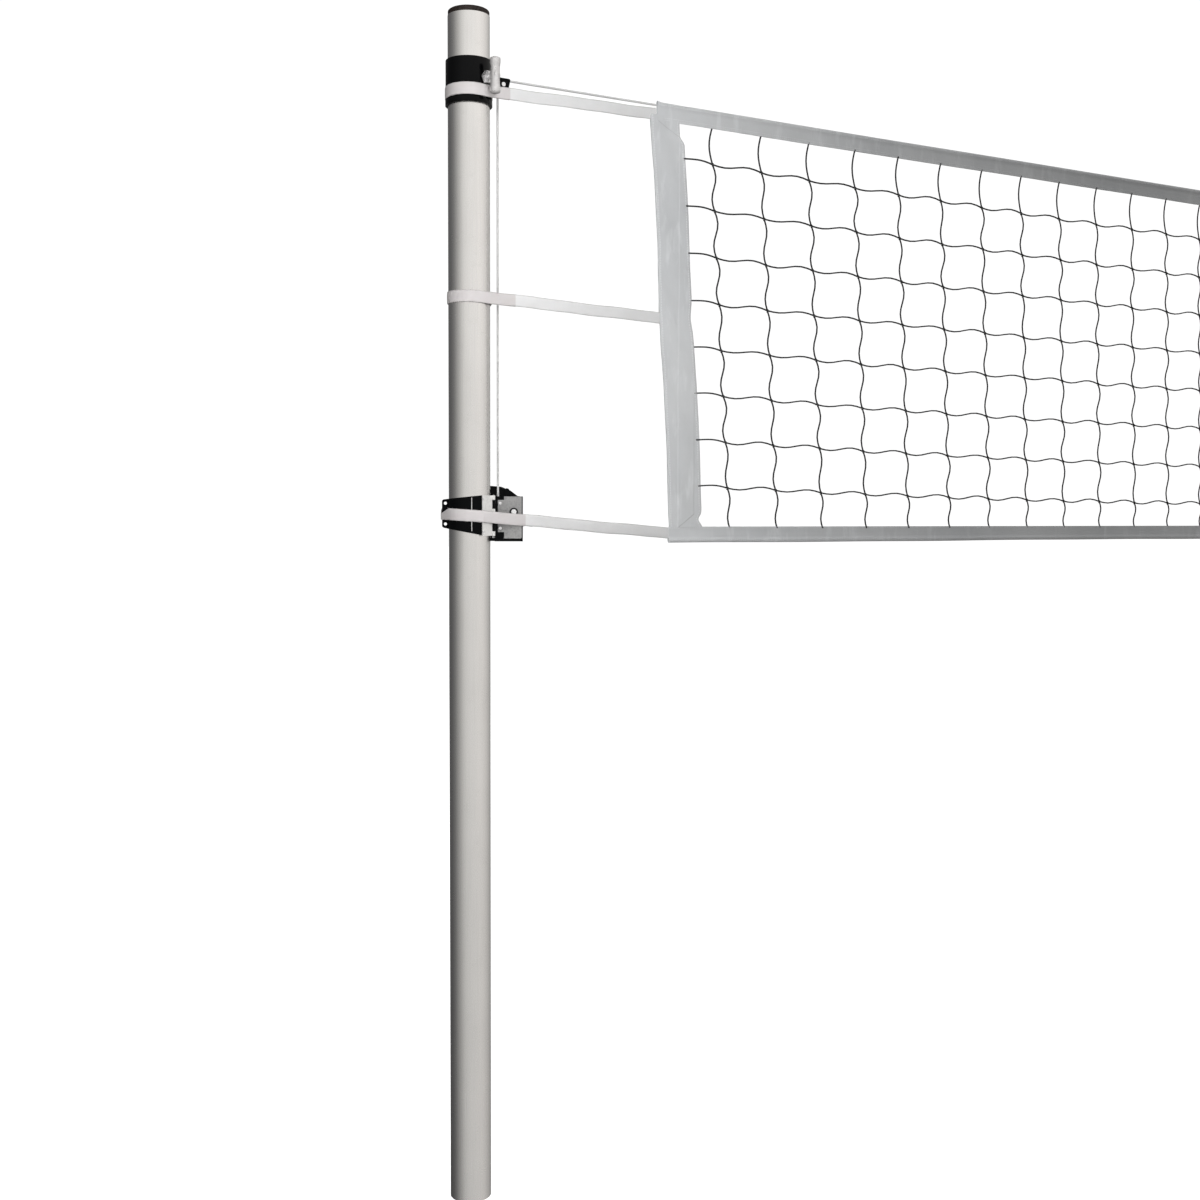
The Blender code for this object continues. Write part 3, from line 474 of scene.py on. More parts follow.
class Shape:
    """Collects tubes, ribbons and lathed forms into one mesh with UVs in metres."""

    def __init__(self):
        self.verts, self.faces, self.uvs, self.layers, self.count = [], [], [], [], 0

    def grid(self, points, uvs, layers=0.0):
        """Quads over points[row, column], the last column joined to the first, with one UV column more.
        A point's layers value is 1 on the webbing's doubled part and its wrap, where its colour is painted
        darker: painted shade."""
        points = np.asarray(points, float)
        rows, columns = points.shape[:2]
        index = np.arange(rows * columns).reshape(rows, columns) + self.count
        uvs = np.asarray(uvs, float).reshape(rows, -1, 2)
        index = np.concatenate([index, index[:, :1]], axis=1)
        self.verts.append(points.reshape(-1, 3))
        self.faces += cells(index).reshape(-1, 4).tolist()
        self.uvs += cells(uvs).reshape(-1, 2).tolist()
        self.layers += np.broadcast_to(layers, (rows, columns)).ravel().tolist()
        self.count += rows * columns
        return index

    def closed(self, points, uvs, layers=0.0):
        """A grid whose first and last rows are filled in; gives the shape back, as tube and lathe do."""
        index = self.grid(points, uvs, layers)
        for loop in (index[0, :-1], index[-1, -2::-1]):
            self.faces.append(loop.tolist())
            self.uvs += [[0.0, 0.0]] * len(loop)
        return self

    def tube(self, points, radius, sides=8, facing=None):
        """A closed tube along points; facing is a direction that is never along it."""
        points = np.asarray(points, float)
        along = np.gradient(points, axis=0)
        along /= np.linalg.norm(along, axis=1)[:, None]
        if facing is not None:
            other = np.cross(along, facing)
            other /= np.linalg.norm(other, axis=1)[:, None]
            first = np.cross(other, along)
        else:
            first, other = carried_frames(along)
        turn = 2 * np.pi * np.arange(sides) / sides
        ring = first[:, None] * np.cos(turn)[None, :, None] + other[:, None] * np.sin(turn)[None, :, None]
        uvs = np.stack(np.meshgrid(lengths(points), np.arange(sides + 1) / sides, indexing="ij"), axis=-1)
        return self.closed(points[:, None] + ring * radius, uvs)

    def lathe(self, profile, segments, place):
        """A closed (radius, z) outline turned about Z; radius 0 closes it."""
        turn = 2 * np.pi * np.arange(segments) / segments
        rings = np.array([[(r * math.cos(a), r * math.sin(a), z) for a in turn] for r, z in profile])
        rings = moved(rings.reshape(-1, 3), place).reshape(rings.shape)
        around = 2 * np.pi * max(r for r, _ in profile) * np.arange(segments + 1) / segments
        uvs = np.stack(np.meshgrid(lengths(profile), around, indexing="ij"), axis=-1)
        if profile[0][0] > 0:
            rings = np.concatenate([rings, rings[:1]])
            uvs = np.concatenate([uvs, uvs[:1]])
        self.grid(rings, uvs)
        return self

    def mesh(self, name):
        made = bpy.data.meshes.new(name)
        made.from_pydata(np.concatenate(self.verts).tolist(), [], self.faces)
        return made

    def object(self, name, slot, body, smooth_angle=40, nodes=(), weld=WELD):
        """Makes the piece, rides it on its body and hides the CAD nodes it stands for."""
        mesh = self.mesh(name)
        mesh.uv_layers.new(name="UVMap").data.foreach_set("uv", np.ravel(self.uvs))
        if any(self.layers):
            mesh.attributes.new("layers", "FLOAT", "POINT").data.foreach_set("value", self.layers)
        mesh.validate()
        welded(mesh, weld)
        return piece(name, mesh, slot, body, nodes, smooth_angle)

    def stand_for(self, node, name, smooth_angle=40, weld=WELD):
        """Makes the piece that stands for a CAD node, on its body and in its slot."""
        return self.object(name, SLOT_OF[node], BODY_OF[node], smooth_angle, [node], weld)


def welded(mesh, distance):
    """Joins a mesh's coinciding points and turns its faces outwards."""
    shape = bmesh.new()
    shape.from_mesh(mesh)
    bmesh.ops.remove_doubles(shape, verts=shape.verts, dist=distance)
    bmesh.ops.recalc_face_normals(shape, faces=shape.faces)
    shape.to_mesh(mesh)
    shape.free()


def lengths(points):
    """How far along a path each of its points is."""
    return np.concatenate([[0], np.cumsum(np.linalg.norm(np.diff(points, axis=0), axis=1))])


def piece(name, mesh, slot, body, nodes=(), smooth_angle=40):
    mesh.materials.clear()
    mesh.materials.append(MATERIALS[slot])
    mesh.shade_smooth()
    mesh.set_sharp_from_angle(angle=math.radians(smooth_angle))
    made = placed(name, mesh)
    if body:
        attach(made, body)
    if nodes:
        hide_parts(*nodes)
    return made


def moved(points, matrix):
    matrix = np.array(matrix)
    return np.asarray(points) @ matrix[:3, :3].T + matrix[:3, 3]


def carried_frames(along):
    """Two directions across a path at each point, carried along it without twist."""
    start = Vector(along[0]).orthogonal().normalized()
    first, other = [], []
    for direction in along:
        direction = Vector(direction)
        start = (start - direction * start.dot(direction)).normalized()
        first.append(tuple(start))
        other.append(tuple(direction.cross(start)))
    return np.array(first), np.array(other)


def across(x, z):
    """A frame at (x, 0, z) whose Y points down and Z along +Y: shafts and wheels."""
    return Matrix(((1, 0, 0, x), (0, 0, 1, 0), (0, -1, 0, z), (0, 0, 0, 1)))


def rounded(profile, radius, steps=3):
    """A (radius, z) outline with its corners rounded; ends on the axis stay."""
    closed = profile[0][0] > 0
    points = [np.array(p, float) for p in profile]
    out = []
    for k, point in enumerate(points):
        if not closed and k in (0, len(points) - 1):
            out.append(tuple(point))
            continue
        before, after = points[k - 1] - point, points[(k + 1) % len(points)] - point
        reach = min(radius, np.linalg.norm(before) * 0.45, np.linalg.norm(after) * 0.45)
        start = point + before / np.linalg.norm(before) * reach
        end = point + after / np.linalg.norm(after) * reach
        for t in np.arange(steps + 1) / steps:
            out.append(tuple((1 - t) ** 2 * start + 2 * t * (1 - t) * point + t**2 * end))
    return out


def finished(node, bevel):
    """The CAD node's shape with its triangles merged and its edges rounded."""
    source = NODES[node]
    shape = bmesh.new()
    shape.from_mesh(source.data)
    bmesh.ops.remove_doubles(shape, verts=shape.verts, dist=2e-6)
    bmesh.ops.dissolve_limit(shape, angle_limit=math.radians(0.8), verts=shape.verts, edges=shape.edges)
    mesh = bpy.data.meshes.new(node + "_finish")
    shape.to_mesh(mesh)
    shape.free()
    made = piece(node + "_finish", mesh, SLOT_OF[node], BODY_OF[node], (node,))
    change = made.modifiers.new("edges", "BEVEL")
    change.width, change.segments = bevel, 2
    change.limit_method, change.angle_limit = "ANGLE", math.radians(35)
    return made


# Poles and their fittings

def make_pole(side):
    """The tube with its cap and foot plug."""
    place = pole_frame(side)
    low, high = heights(f"{side}_pole")
    levels = [low, *(low + (high - low) * np.linspace(0.01, 0.99, 12)), high]
    rings = [*((POLE_R, z) for z in levels), (BORE_R, high), (BORE_R, low)]
    Shape().lathe(rings, 128, place).stand_for(f"{side}_pole", f"{side}_tube")
    cap_low, cap_high = heights(f"{side}_pole_cap")
    gap, dome = 0.0003, 0.0065
    seat = high + gap
    rim = size(f"{side}_pole_cap").x / 2
    crown = [(rim * math.cos(a) ** 0.55, cap_high - dome + dome * math.sin(a))
             for a in np.linspace(0, 1.52, 10)]
    profile = [(0, cap_low), (BORE_R - gap, cap_low), (BORE_R - gap, seat), (rim - 0.0006, seat),
               (rim, seat + 0.0008), *crown, (0, cap_high)]
    cap = Shape().lathe(profile, 96, place)
    cap.stand_for(f"{side}_pole_cap", f"{side}_cap_rubber", 60)
    finished(f"{side}_pole_foot", 0.0008)


def make_collar(side):
    """The clamp collar, grooved for its strap, with its boss, nut, screw, cast handle and cable fork."""
    place = pole_frame(side)
    low, high = heights(f"{side}_collar")
    inner = POLE_R + SLIDE_GAP
    groove_low, groove_high = TOP_STRAP_Z - WEBBING / 2 - 0.0018, TOP_STRAP_Z + WEBBING / 2 + 0.0015
    profile = rounded([(inner, low), (COLLAR_RING_R, low), (COLLAR_RING_R, groove_low),
                       (COLLAR_GROOVE_R, groove_low), (COLLAR_GROOVE_R, groove_high),
                       (COLLAR_R, groove_high), (COLLAR_R, high), (inner, high)], 0.0009)
    collar = Shape().lathe(profile, 128, place).stand_for(f"{side}_collar", f"{side}_collar_ring")
    line = place @ screw_frame()
    boss = Shape().lathe(plug(0.0122, 0.0465, 0.0512, 0.0007), 48, line)
    boss = boss.object(f"{side}_collar_boss", "black_paint", "net_set")
    hole = Shape().lathe([(0, 0.040), (0.0056, 0.040), (0.0056, 0.060), (0, 0.060)], 32, line)
    for coated in (boss, collar):
        cut(coated, hole)
        coated.data.materials[0] = MATERIALS["collar_paint"]
    finished(f"{side}_clamp_nut", 0.0007)
    screw = Shape().lathe(screw_outline(POLE_R + 0.00045, HANDLE_REACH + 0.0039), 32, line)
    screw.stand_for(f"{side}_clamp_screw", f"{side}_screw_thread")
    upright = screw_frame().inverted().to_3x3().to_4x4()
    axis = line @ Matrix.Translation((0, 0, HANDLE_REACH)) @ upright
    grip = Shape().lathe(handle_outline(size(f"{side}_clamp_handle").z / 2), 48, axis)
    grip.stand_for(f"{side}_clamp_handle", f"{side}_handle_casting", 60)
    hub = Shape().lathe(plug(0.0085, HANDLE_REACH - 0.0096, HANDLE_REACH + 0.0076, 0.0012), 40, line)
    hub.object(f"{side}_handle_hub", "cast_zinc", f"{side}_clamp", 60)
    finished(f"{side}_cable_bracket", 0.0009)
    finished(f"{side}_bracket_pin", 0.0004)


def plug(radius, low, high, corner):
    """A short solid cylinder's outline with rounded rims."""
    return rounded([(0, low), (radius, low), (radius, high), (0, high)], corner)


def screw_outline(tip, end):
    """The clamp screw, with turned rings for its thread."""
    tip_r, root_r, crest_r = 0.0038, 0.0043, 0.0050
    chamfer, pitch = 0.0012, 0.0015
    outline = [(0, tip), (tip_r, tip)]
    for k in range(int((end - tip) / pitch) - 2):
        start = tip + chamfer + k * pitch
        outline += [(root_r, start), (crest_r, start + pitch * 0.5)]
    return [*outline, (crest_r, end), (0, end)]


def handle_outline(half):
    """The handle's outline: swollen ends and a drawn-in waist."""
    waist, swelling = 0.0098, 0.0015
    outline = [(0, -half)]
    for t in np.linspace(-1, 1, 33):
        out = min(1, max(0, (abs(t) - 0.42) / 0.30))
        radius = waist + swelling * out ** 2 * (3 - 2 * out)
        end = max(0.0, abs(t) - 0.90) / 0.10
        outline.append((radius * math.sqrt(1 - (end * 0.86) ** 2), t * half))
    outline.append((0, half))
    return outline


def screw_frame():
    direction = Vector((math.cos(SCREW_TURN), math.sin(SCREW_TURN), 0))
    turn = direction.to_track_quat("Z", "Y").to_matrix().to_4x4()
    return Matrix.Translation((0, 0, SCREW_Z)) @ turn


def cut(target, shape):
    """Takes shape out of target for good, and leaves nothing else in the scene."""
    mesh = shape.mesh("cutter")
    welded(mesh, WELD)
    tool = placed("cutter", mesh)
    change = target.modifiers.new("cut", "BOOLEAN")
    change.operation, change.solver, change.object = "DIFFERENCE", "EXACT", tool
    depsgraph = bpy.context.evaluated_depsgraph_get()
    result = bpy.data.meshes.new_from_object(target.evaluated_get(depsgraph))
    target.modifiers.clear()
    target.data = result
    result.set_sharp_from_angle(angle=math.radians(40))
    bpy.data.objects.remove(tool)


# Straps

def hull(points):
    """The convex outline of XY points, anticlockwise: the way a taut strap lies round them."""
    points = sorted(set(points))
    chains = []
    for line in (points, points[::-1]):
        chain = []
        for p in line:
            while len(chain) > 1:
                (ax, ay), (bx, by) = chain[-2:]
                if (bx - ax) * (p[1] - ay) - (by - ay) * (p[0] - ax) > 0:
                    break
                chain.pop()
            chain.append(p)
        chains += chain[:-1]
    return chains


def circle(radius, count):
    turns = [2 * math.pi * k / count for k in range(count)]
    return [(radius * math.cos(a), radius * math.sin(a)) for a in turns]


def strap(side, name, z_at, round_what, end_x, fold_x, tail_x, narrow_x=None, shade_x=None):
    """Webbing from inside the tape straight to the front of what it holds, round that to the fold, and
    back behind its own taut run to its sewn tail. Its top edge is pinched before narrow_x, and from
    shade_x on, over its doubled part and its wrap, its colour is painted darker: painted shade."""
    sewn_in, step = 0.016, 0.003
    end = (end_x, 0.0)
    front = hull(round_what + [end])
    touch = Vector(front[front.index(end) - 1])
    run = Vector(end) - touch
    inside = Vector((-run.y, run.x)).normalized() * (STRAP_T + 0.0005)

    def beside(x):
        return tuple(touch + run * (x - touch.x) / run.x + inside)

    fold = beside(fold_x)
    loop = hull(round_what + [fold])
    start = loop.index(fold)
    wrap = (loop[start + 1:] + loop[:start])[::-1]
    # even steps along it, so that the weave and the sag are even
    path = resampled(np.array([(end_x + sewn_in, 0.0), end, *wrap, fold, beside(tail_x)]), step)
    along = np.gradient(path, axis=0)
    along /= np.linalg.norm(along, axis=1)[:, None]
    normal = np.stack([-along[:, 1], along[:, 0]], axis=1)
    length = lengths(path)
    total = length[-1]
    half_w, half_t, edge = WEBBING / 2, STRAP_T / 2, 0.0006
    face = np.linspace(-half_w + edge, half_w - edge, 7)
    side_up = [(half_w - edge * 0.2, half_t * 0.55), (half_w, 0), (half_w - edge * 0.2, -half_t * 0.55)]
    section = [*((w, half_t) for w in face), *side_up, *((w, -half_t) for w in face[::-1]),
               *((-w, t) for w, t in side_up[::-1])]
    z = np.array([z_at(x) for x in path[:, 0]])
    wave = 0.0005 * np.sin(length * 23 + len(name)) + 0.0004 * np.sin(length * 51 + 1)
    fade = np.clip(length / 0.05, 0, 1) * np.clip((total - length) / 0.05, 0, 1)
    rows = []
    for k, (x, y) in enumerate(path):
        drop = 0.011 * np.clip((narrow_x + 0.0045 - x) / 0.004, 0, 1) if narrow_x else 0
        level = z[k] + wave[k] * fade[k]
        rows.append([])
        for w, t in section:
            out = t + 0.0004 * (1 - (w / half_w) ** 2)
            high = w - drop * (w + half_w) / WEBBING
            rows[-1].append((x + normal[k, 0] * out, y + normal[k, 1] * out, level + high))
    around = [w + half_w for w, _ in [*section, section[0]]]
    uvs = [[(at, v) for v in around] for at in length]
    rows = moved(np.array(rows).reshape(-1, 3), pole_frame(side)).reshape(len(path), len(section), 3)
    single = sewn_in + run.length * (end_x - (shade_x or tail_x)) / run.x
    doubled = np.clip((length - single) / 0.001, 0, 1)[:, None]
    made = Shape().closed(rows, uvs, doubled)
    made = made.stand_for(f"{side}_{name}_strap", f"{side}_{name}_webbing", 50)


def resampled(path, step):
    """The same route with a point about every step, its own corners kept."""
    out = [path[0]]
    for one, two in zip(path[:-1], path[1:]):
        count = max(1, int(round(np.linalg.norm(two - one) / step)))
        out += [one + (two - one) * t for t in np.arange(1, count + 1) / count]
    return np.array(out)


def make_straps(side):
    """The three straps; the left bottom one lies round the winch too, past its corners."""
    on_pole = circle(POLE_R + 0.0005 + STRAP_T / 2, 96)

    def top(x):
        return TOP_STRAP_Z + TOP_STRAP_RISE * max(x - TOP_STRAP_BEND, 0)

    def middle_one(x):
        return MIDDLE_STRAP_Z - MIDDLE_STRAP_DROP * x

    def bottom(x):
        return BOTTOM_STRAP_Z - BOTTOM_STRAP_DROP * x

    on_collar = circle(COLLAR_GROOVE_R + 0.0003 + STRAP_T / 2, 96)
    strap(side, "top", top, on_collar, 0.4488, 0.034, 0.0764)
    strap(side, "middle", middle_one, on_pole, 0.4752, 0.034, 0.0925)
    if side == "right":
        strap(side, "bottom", bottom, on_pole, 0.5025, 0.034, 0.100)
        return
    turn = Matrix.Rotation(WINCH_TURN, 2)
    space = STRAP_T / 2 + 0.0006
    corners = [(-0.0590 - space, -0.0035), (-0.0590 - space, 0.0035), (0.1145 + space, 0.0505 + space),
               (0.1145 + space, 0.0020), (0.1006, -0.0054 - space), (0.0890, -0.0054 - space),
               (0.0297, -0.0466), (0.0335, -0.0430), (0.0546, -0.0245), (0.0425, 0.0505 + space)]
    held = [tuple(turn @ Vector(p)) for p in circle(0.0500 + 0.0022, 96) + corners]
    strap(side, "bottom", bottom, held, 0.5025, 0.113, 0.130, min(x for x, _ in held), 0.111)


# Cable

def make_cable():
    """The top run with its eye, and the run down to the drum, which follows the pole at its foot."""
    strand = CABLE_Z - 2 * CABLE_R - 0.0003

    def bend(first, last, count):
        return [(WHEEL_X + BEND_R * math.cos(a), WHEEL_Z + BEND_R * math.sin(a))
                for a in np.radians(np.linspace(first, last, count))]

    tail = [(0.162, strand), (0.128, strand), (0.120, strand - 0.0012), (0.108, strand - 0.0068),
            (0.097, strand - 0.0122), (0.088, strand - 0.0150)]
    near_right = [(HALF - x, 0, z) for x, z in [*tail, *bend(270, 90, 24), (0.128, CABLE_Z)]]
    near_left = [(-HALF + x, 0, z) for x, z in [(0.128, CABLE_Z), *bend(90, 180, 16)]]
    span = [(x, 0, CABLE_Z) for x in np.linspace(HALF - 0.5, -HALF + 0.5, 40)]
    cable = Shape().tube(near_right + span + near_left, CABLE_R, 12, FRONT_FACING)
    cable.stand_for("net_cable", "cable", 60)
    x, drum_z = -HALF + CABLE_X, JOINTS["drum_spin"]["pos_m"][2]
    run = Shape().tube([(x, 0, z) for z in np.linspace(WHEEL_Z, drum_z, 48)], CABLE_R, 12, FRONT_FACING)
    run = run.object("cable_to_drum", "coated_cable", None, 60)
    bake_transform(run)


# Net

def make_netting():
    """The knotted mesh: wavy cords between small knots, a little slack towards the middle."""
    rows, gaps = 8, 67
    top, bottom = TOP_BAND_LOW + 0.004, BOTTOM_BAND_HIGH - 0.004
    first_row, last_row = 2.3094, 1.5633
    first_column, column_lean = 0.6146, 0.0664
    cord_r, knot_r = 0.0020, 0.0017
    r = np.random.default_rng(7)

    def column_x(k, z):
        first = HALF - first_column - column_lean * (LEAN_FROM - z)
        return first * (2 * k / gaps - 1)

    levels = np.linspace(first_row, last_row, rows)
    knots = np.zeros((gaps + 1, rows, 3))
    for k in range(gaps + 1):
        for i, z in enumerate(levels):
            x = column_x(k, z)
            inward = HALF - abs(x) - (tape_edge(z) + TAPE_WIDTH)
            sag = (0.020 + 0.0022 * i) * (1 - math.exp(-max(inward, 0) / 0.85))
            knots[k, i] = (x + r.uniform(-0.0012, 0.0012), r.uniform(-0.001, 0.001),
                           z - sag + r.uniform(-0.001, 0.001))
    made = Shape()
    steps = 8
    t = np.arange(steps) / steps

    def joined(points, kinds):
        """One cord through its points; a kind says how each span bows, as (axis, S, bow)."""
        line = []
        for one, two, (axis, wave, bow) in zip(points[:-1], points[1:], kinds):
            span = one + (two - one) * t[:, None]
            span[:, axis] += wave * np.sin(2 * np.pi * t) + bow * np.sin(np.pi * t)
            span[:, 1] += 0.0006 * np.sin(np.pi * t)
            line.append(span)
        line.append(points[-1:])
        return np.concatenate(line)

    for k in range(gaps + 1):
        column = knots[k]
        head = [(column[0, 0] - 0.0022, 0, top)]
        foot = [(column_x(k, bottom), 0, bottom)]
        waves = [(0, 0.0, -0.0085)] + [(0, 0.0062 * r.uniform(0.8, 1.2), 0.0018) for _ in range(rows - 1)]
        waves.append((0, 0.0050, 0.0015))
        route = np.concatenate([head, column, foot])
        made.tube(joined(route, waves), cord_r, 6, FRONT_FACING)
    for i, z in enumerate(levels):
        line = knots[:, i]
        into_tape = HALF - tape_edge(z) - TAPE_WIDTH + 0.004
        start = [(-into_tape, 0, line[0, 2] + 0.004)]
        end = [(into_tape, 0, line[-1, 2] + 0.004)]
        waves = [(2, -0.0005, 0.0042)] + [(2, -0.0043 * r.uniform(0.8, 1.2), 0.0022) for _ in range(gaps)]
        waves.append((2, 0.0005, 0.0042))
        route = np.concatenate([start, line, end])
        made.tube(joined(route, waves), cord_r, 6, FRONT_FACING)
    turns = np.linspace(0, 2.6 * np.pi, 13)
    depth = np.array(FRONT_FACING)
    for point in knots.reshape(-1, 3):
        tilt = r.uniform(0.5, 1.0)
        way = np.array((math.cos(tilt), 0, -math.sin(tilt)))
        other = np.array((way[2], 0, -way[0]))
        coil = [point + way * (0.0034 * (n / 6 - 1)) + 0.0024 * (np.cos(a) * other + np.sin(a) * depth)
                for n, a in enumerate(turns)]
        made.tube(coil, knot_r, 5)
    made.stand_for("netting", "netting_cords", 70, 0)


def sleeve(name, node, section, start, gather, lift=0.0):
    """A hem swept along the net, its cloth puckered along the seams and creased near the ends. Its lower
    edge droops by gather, and its corners stand up by lift."""
    reach = HALF - start
    near_end, gap = 0.6, 0.02
    plain = reach - near_end - gap
    stations = np.concatenate([np.linspace(-reach, -reach + near_end, 60), np.linspace(-plain, plain, 420),
                               np.linspace(reach - near_end, reach, 60)])
    section = np.array(section)
    low, high = section[:, 1].min(), section[:, 1].max()
    rows, uvs = [], []
    for x in stations:
        end = np.exp(-(reach - abs(x)) / 0.12)
        row = []
        for y, z in section:
            v = (z - low) / (high - low)
            pucker = 0.0004 * math.sin(x * 61 + v * 5) * math.sin(x * 23 + 2) * (1 - v) ** 0.5
            crease = 0.0012 * end * math.sin((reach - abs(x)) * 48 + v * 4.2)
            drift = 0.0008 * math.sin(x * 2.9 + v * 1.3) + 0.0006 * math.sin(x * 7.3 + 1)
            droop = gather * (math.sin(x * 13.0) * 0.4 + math.sin(x * 5.1 + 1) * 0.6)
            tab = lift * math.exp(-((reach - abs(x)) / 0.006) ** 2)
            out = pucker if y > 0 else -pucker
            row.append((x, y + out + crease + drift, z + droop * (1 - v) + tab * v))
        rows.append(row)
        uvs.append([(x + reach, z - low) for _, z in [*section, section[0]]])
    made = Shape().closed(rows, uvs).stand_for(node, name, 45)


def make_bands():
    """The top and bottom hems, the rope and the leaning tapes at the ends."""
    neck_y = 0.0019
    turn = np.radians(np.linspace(-62, 242, 17))
    head = [(0.0042 * math.cos(a), CABLE_Z + 0.0014 + 0.0060 * math.sin(a)) for a in turn]
    neck = CABLE_Z - 0.0110
    back = [(0.0013, z) for z in np.linspace(TOP_BAND_LOW + 0.0004, neck - 0.006, 7)]
    front = [(-y, z) for y, z in back[::-1]]
    section = [*back, (neck_y, neck), *head, (-neck_y, neck), *front]
    sleeve("top_hem", "top_band", section, BAND_START, 0.0006, 0.0025)

    rope_z = NET_BOTTOM + 0.0085
    turn = np.radians(np.linspace(62, -242, 15))
    foot = [(0.0036 * math.cos(a), rope_z - 0.001 + 0.0062 * math.sin(a)) for a in turn]
    neck = rope_z + 0.0085
    back = [(0.0012, z) for z in np.linspace(BOTTOM_BAND_HIGH, neck + 0.0055, 6)]
    front = [(-y, z) for y, z in back[::-1]]
    section = [*back, (neck_y, neck), *foot, (-neck_y, neck), *front]
    sleeve("bottom_hem", "bottom_band", section, BOTTOM_START, 0.0008)
    reach = HALF - BOTTOM_START - 0.004
    line = [(x, 0, rope_z) for x in np.linspace(-reach, reach, 30)]
    rope = Shape().tube(line, 0.0022, 10, FRONT_FACING)
    rope.stand_for("bottom_rope", "bottom_hem_rope")
    for side, sign in SIDES:
        make_tape(side, sign)


def make_tape(side, sign):
    """An end tape: cloth doubled over, drawn in at the straps and bulging between, its corners mitred."""
    low, high = BOTTOM_BAND_HIGH - 0.002, TAPE_TOP
    columns, rows = 31, 220
    thickness = 0.0032
    levels = np.linspace(high, low, rows)
    spread = np.linspace(0, 1, columns)
    grid = np.zeros((rows, columns, 3))
    swell = np.zeros((rows, columns))

    def near(z, at, reach):
        return math.exp(-((z - at) / reach) ** 2)

    for i, z in enumerate(levels):
        bow = 0.0042 * abs(math.sin(math.pi * (z - 1.945) / 0.45))
        left = tape_edge(z) + bow - 0.0004 * math.sin(z * 41)
        right = tape_edge(z) + TAPE_WIDTH + 0.5 * bow + 0.0035 * min(max((1.90 - z) / 0.1, 0), 1)
        right += 0.0007 * math.sin(z * 23 + 1)
        right -= 0.0050 * near(z, 1.950, 0.028) + 0.0100 * near(z, 1.485, 0.011)
        right -= 0.0115 * min(max((z - 2.345) / 0.014, 0), 1)
        held = [near(z, at, 0.0115) for at in (2.388, 1.9455, 1.4540)]
        for j, s in enumerate(spread):
            x = left + (right - left) * s
            crease = 0.0008 * math.sin(z * 31 + s * 6) * math.sin(s * 3.1)
            crease += 0.0009 * math.sin(z * 11 + s * 2.4)
            crease += 0.0012 * near(z, 1.953 - (s - 0.2) * 0.05, 0.014) * (1 - s)
            crease += 0.0010 * math.sin((z + 0.35 * s * TAPE_WIDTH) * 71) * near(z, 1.945, 0.11) * (1 - s)
            grid[i, j] = (sign * (HALF - x), crease * (1 - max(held) * math.exp(-(s * 2.5) ** 2)), z)
            # the straps' ends, sewn in between the two layers
            swell[i, j] = 0.0009 * min(1.0, 2.2 * max(held)) / (1 + math.exp((s - 0.5) * 60))
    front, back = grid.copy(), grid.copy()
    front[:, :, 1] -= thickness / 2 + swell
    back[:, :, 1] = back[:, :, 1] * 0.4 + thickness / 2 + swell
    for edge in (0, -1):
        middle_y = (front[:, edge, 1] + back[:, edge, 1]) / 2
        half = 0.0006 + swell[:, edge]
        front[:, edge, 1], back[:, edge, 1] = middle_y - half, middle_y + half
    # the seams are laid out for the hems' width
    widths = [s * SEAMED_WIDTH for s in spread]
    uvs = [[(at, w) for w in [*widths, *widths[::-1], 0.0]] for at in np.linspace(0, high - low, rows)]
    made = Shape().closed(np.concatenate([front, back[:, ::-1]], axis=1), uvs)
    made = made.stand_for(f"{side}_end_band", f"{side}_end_tape", 50)
    made.data.materials[0] = MATERIALS["mitred_vinyl"]


# Winch and wheels

def shaft_frame(joint):
    """A winch shaft's frame at its joint, Z along it."""
    return Matrix.Translation(JOINTS[joint]["pos_m"]) @ WINCH.to_3x3().to_4x4() @ across(0, 0)


def make_winch():
    """The winch's plates and fastenings, then its drum, bush and spring."""
    for node in ("clamp_front_shell", "clamp_back_shell", "winch_frame", "winch_back_plate", "pawl",
                 "hinge_frame_leaf"):
        finished(node, 0.0005)
    # a thin bright zinc strip down the front shell, where its highlight falls: a painted highlight
    highlight_strip = Shape().tube([(-HALF - 0.0160, -0.0452, z) for z in np.linspace(1.4600, 1.5308, 8)], 0.0010)
    highlight_strip.object("shell_rib", "zinc", BODY_OF["clamp_front_shell"], 60)
    finished("hinge_leaf", 0.0004)
    finished("winch_cover_plate", 0.0004).data.materials[0] = MATERIALS["dull_zinc"]
    for node in ("hinge_leaf_upper_screw", "hinge_leaf_lower_screw", "hinge_pin", "cover_plate_upper_rivet",
                 "cover_plate_lower_rivet", "frame_upper_bolt", "frame_lower_bolt", "pawl_pin",
                 "pinion_shaft"):
        finished(node, 0.0003)
    for node in ("drum_gear", "ratchet_wheel", "drum_shaft"):
        finished(node, 0.0002)
    make_drum(shaft_frame("drum_spin"))
    outline = [(0.0051, 0.0020), (0.0092, 0.0020), (0.0092, 0.0041), (0.0070, 0.0041), (0.0070, 0.0093),
               (0.0051, 0.0093)]
    bush = Shape().lathe(rounded(outline, 0.0004, 2), 48, shaft_frame("pinion_spin"))
    bush.stand_for("pinion_bush", "drive_bush")
    coil = [(0.0036 * math.cos(a), 0.0036 * math.sin(a), 0.0461 + 0.0013 * a / (3 * math.pi))
            for a in np.linspace(0, 3 * math.pi, 40)]
    spring = Shape().tube(moved(coil, shaft_frame("pawl_lift")), 0.0004, 6)
    spring.stand_for("pawl_spring", "pawl_coil", 60)


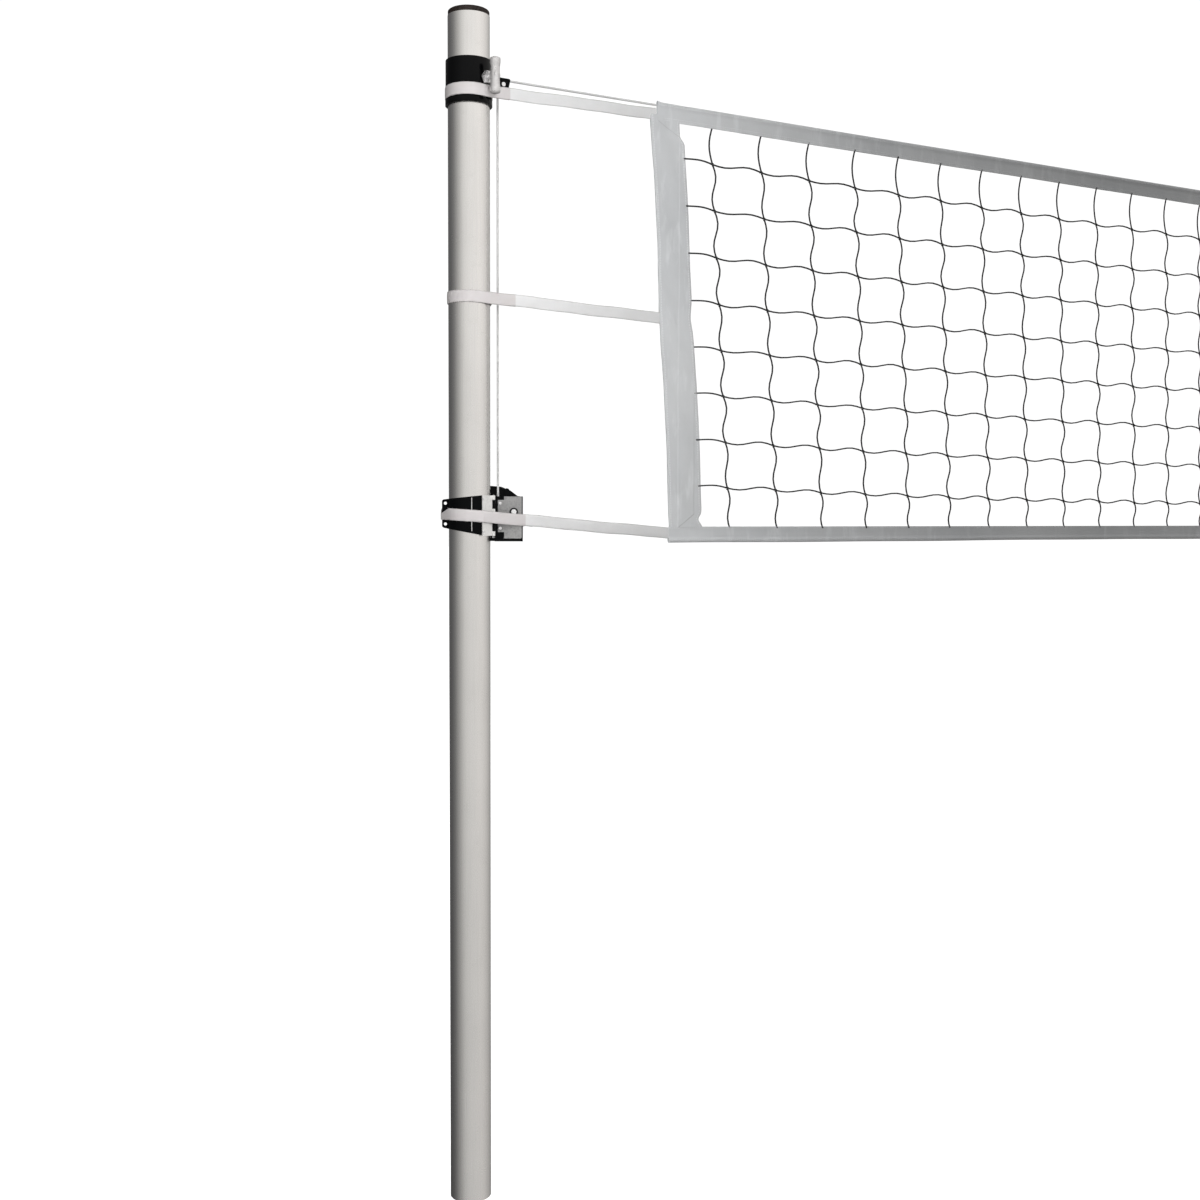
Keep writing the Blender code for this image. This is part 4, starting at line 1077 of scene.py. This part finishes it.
def make_drum(place):
    """The flanged spool and two layers of cable on it, the second wound back over the first."""
    bore, core, rim = 0.0053, 0.0100, 0.0205
    low, high, flange = 0.0180, 0.0390, 0.0020
    outline = [(bore, low), (rim, low), (rim, low + flange), (core, low + flange), (core, high - flange),
               (rim, high - flange), (rim, high), (bore, high)]
    drum = Shape().lathe(rounded(outline, 0.0004, 2), 72, place)
    drum.stand_for("drum", "drum_spool")
    advance = 2 * CABLE_R * 1.02 * 0.8
    inner_r, outer_r = core + CABLE_R + 0.0001, 0.0160 - CABLE_R
    start, inner_turns, outer_turns, steps = low + 0.0027 + CABLE_R, 3.0, 2.4, 36
    points = []
    for n in range(int(inner_turns * steps) + 1):
        a = 2 * math.pi * n / steps
        points.append((inner_r * math.cos(a), inner_r * math.sin(a), start + advance * n / steps))
    for n in range(int(outer_turns * steps) + 1):
        a = 2 * math.pi * n / steps
        radius = inner_r + (outer_r - inner_r) * min(1.0, n / 8)
        height = start + advance * (inner_turns - n / steps)
        points.append((radius * math.cos(a), radius * math.sin(a), height))
    coil = Shape().tube(moved(points, place), CABLE_R * 0.97)
    coil.stand_for("cable_winding", "drum_winding", 60)


def make_wheels():
    """The grooved wheel on the left fork, the thimble on the right one, and the cable's ferrule."""
    for node, name, radius, half, bore, side in (
            ("pulley_wheel", "rope_wheel", 0.0122, 0.0036, 0.0032, "left"),
            ("cable_thimble", "eye_thimble", 0.0118, 0.0034, 0.0031, "right")):
        lip = half - 0.0006
        outline = [(bore, -half), (radius, -half), (radius, -lip), (0.0087, -0.0024), (0.0077, 0),
                   (0.0087, 0.0024), (radius, lip), (radius, half), (bore, half)]
        wheel = Shape().lathe(rounded(outline, 0.0004, 2), 64, pole_frame(side) @ across(WHEEL_X, WHEEL_Z))
        wheel.stand_for(node, name)
    finished("cable_ferrule", 0.0003)


# The stage and the order of work

def make_floor():
    mesh = bpy.data.meshes.new("floor")
    mesh.from_pydata([(-60, -60, 0), (60, -60, 0), (60, 60, 0), (-60, 60, 0)], [], [(0, 1, 2, 3)])
    mesh.materials.append(MATERIALS["floor"])
    placed("floor", mesh)


make_camera()
make_world()
area_light("key", (-HALF - 0.10, -0.9, 2.15), (-HALF + 0.10, 0, 2.15), 0.5, 2.2, 15.5, (1.0, 0.99, 0.98))
area_light("side", (-HALF - 1.5, -0.6, 1.9), (-HALF, 0, 1.9), 0.5, 2.2, 12, (1.0, 0.985, 0.98))
area_light("front", (1.5, -6.0, 3.2), (0.5, 0, 1.6), 8.0, 2.5, 24, (1.0, 0.99, 0.98))
area_light("back", (2.5, 6.0, 3.2), (0.5, 0, 1.6), 8.0, 2.5, 115, (1.0, 0.99, 0.98))
area_light("top", (0, 0.5, 7.5), (0, 0, 0), 12.0, 5.0, 150, (1.0, 1.0, 1.0))
bpy.context.scene.view_settings.view_transform = "Standard"
make_floor()
for side, _ in SIDES:
    make_pole(side)
    make_collar(side)
    make_straps(side)
make_cable()
make_bands()
make_netting()
make_winch()
make_wheels()
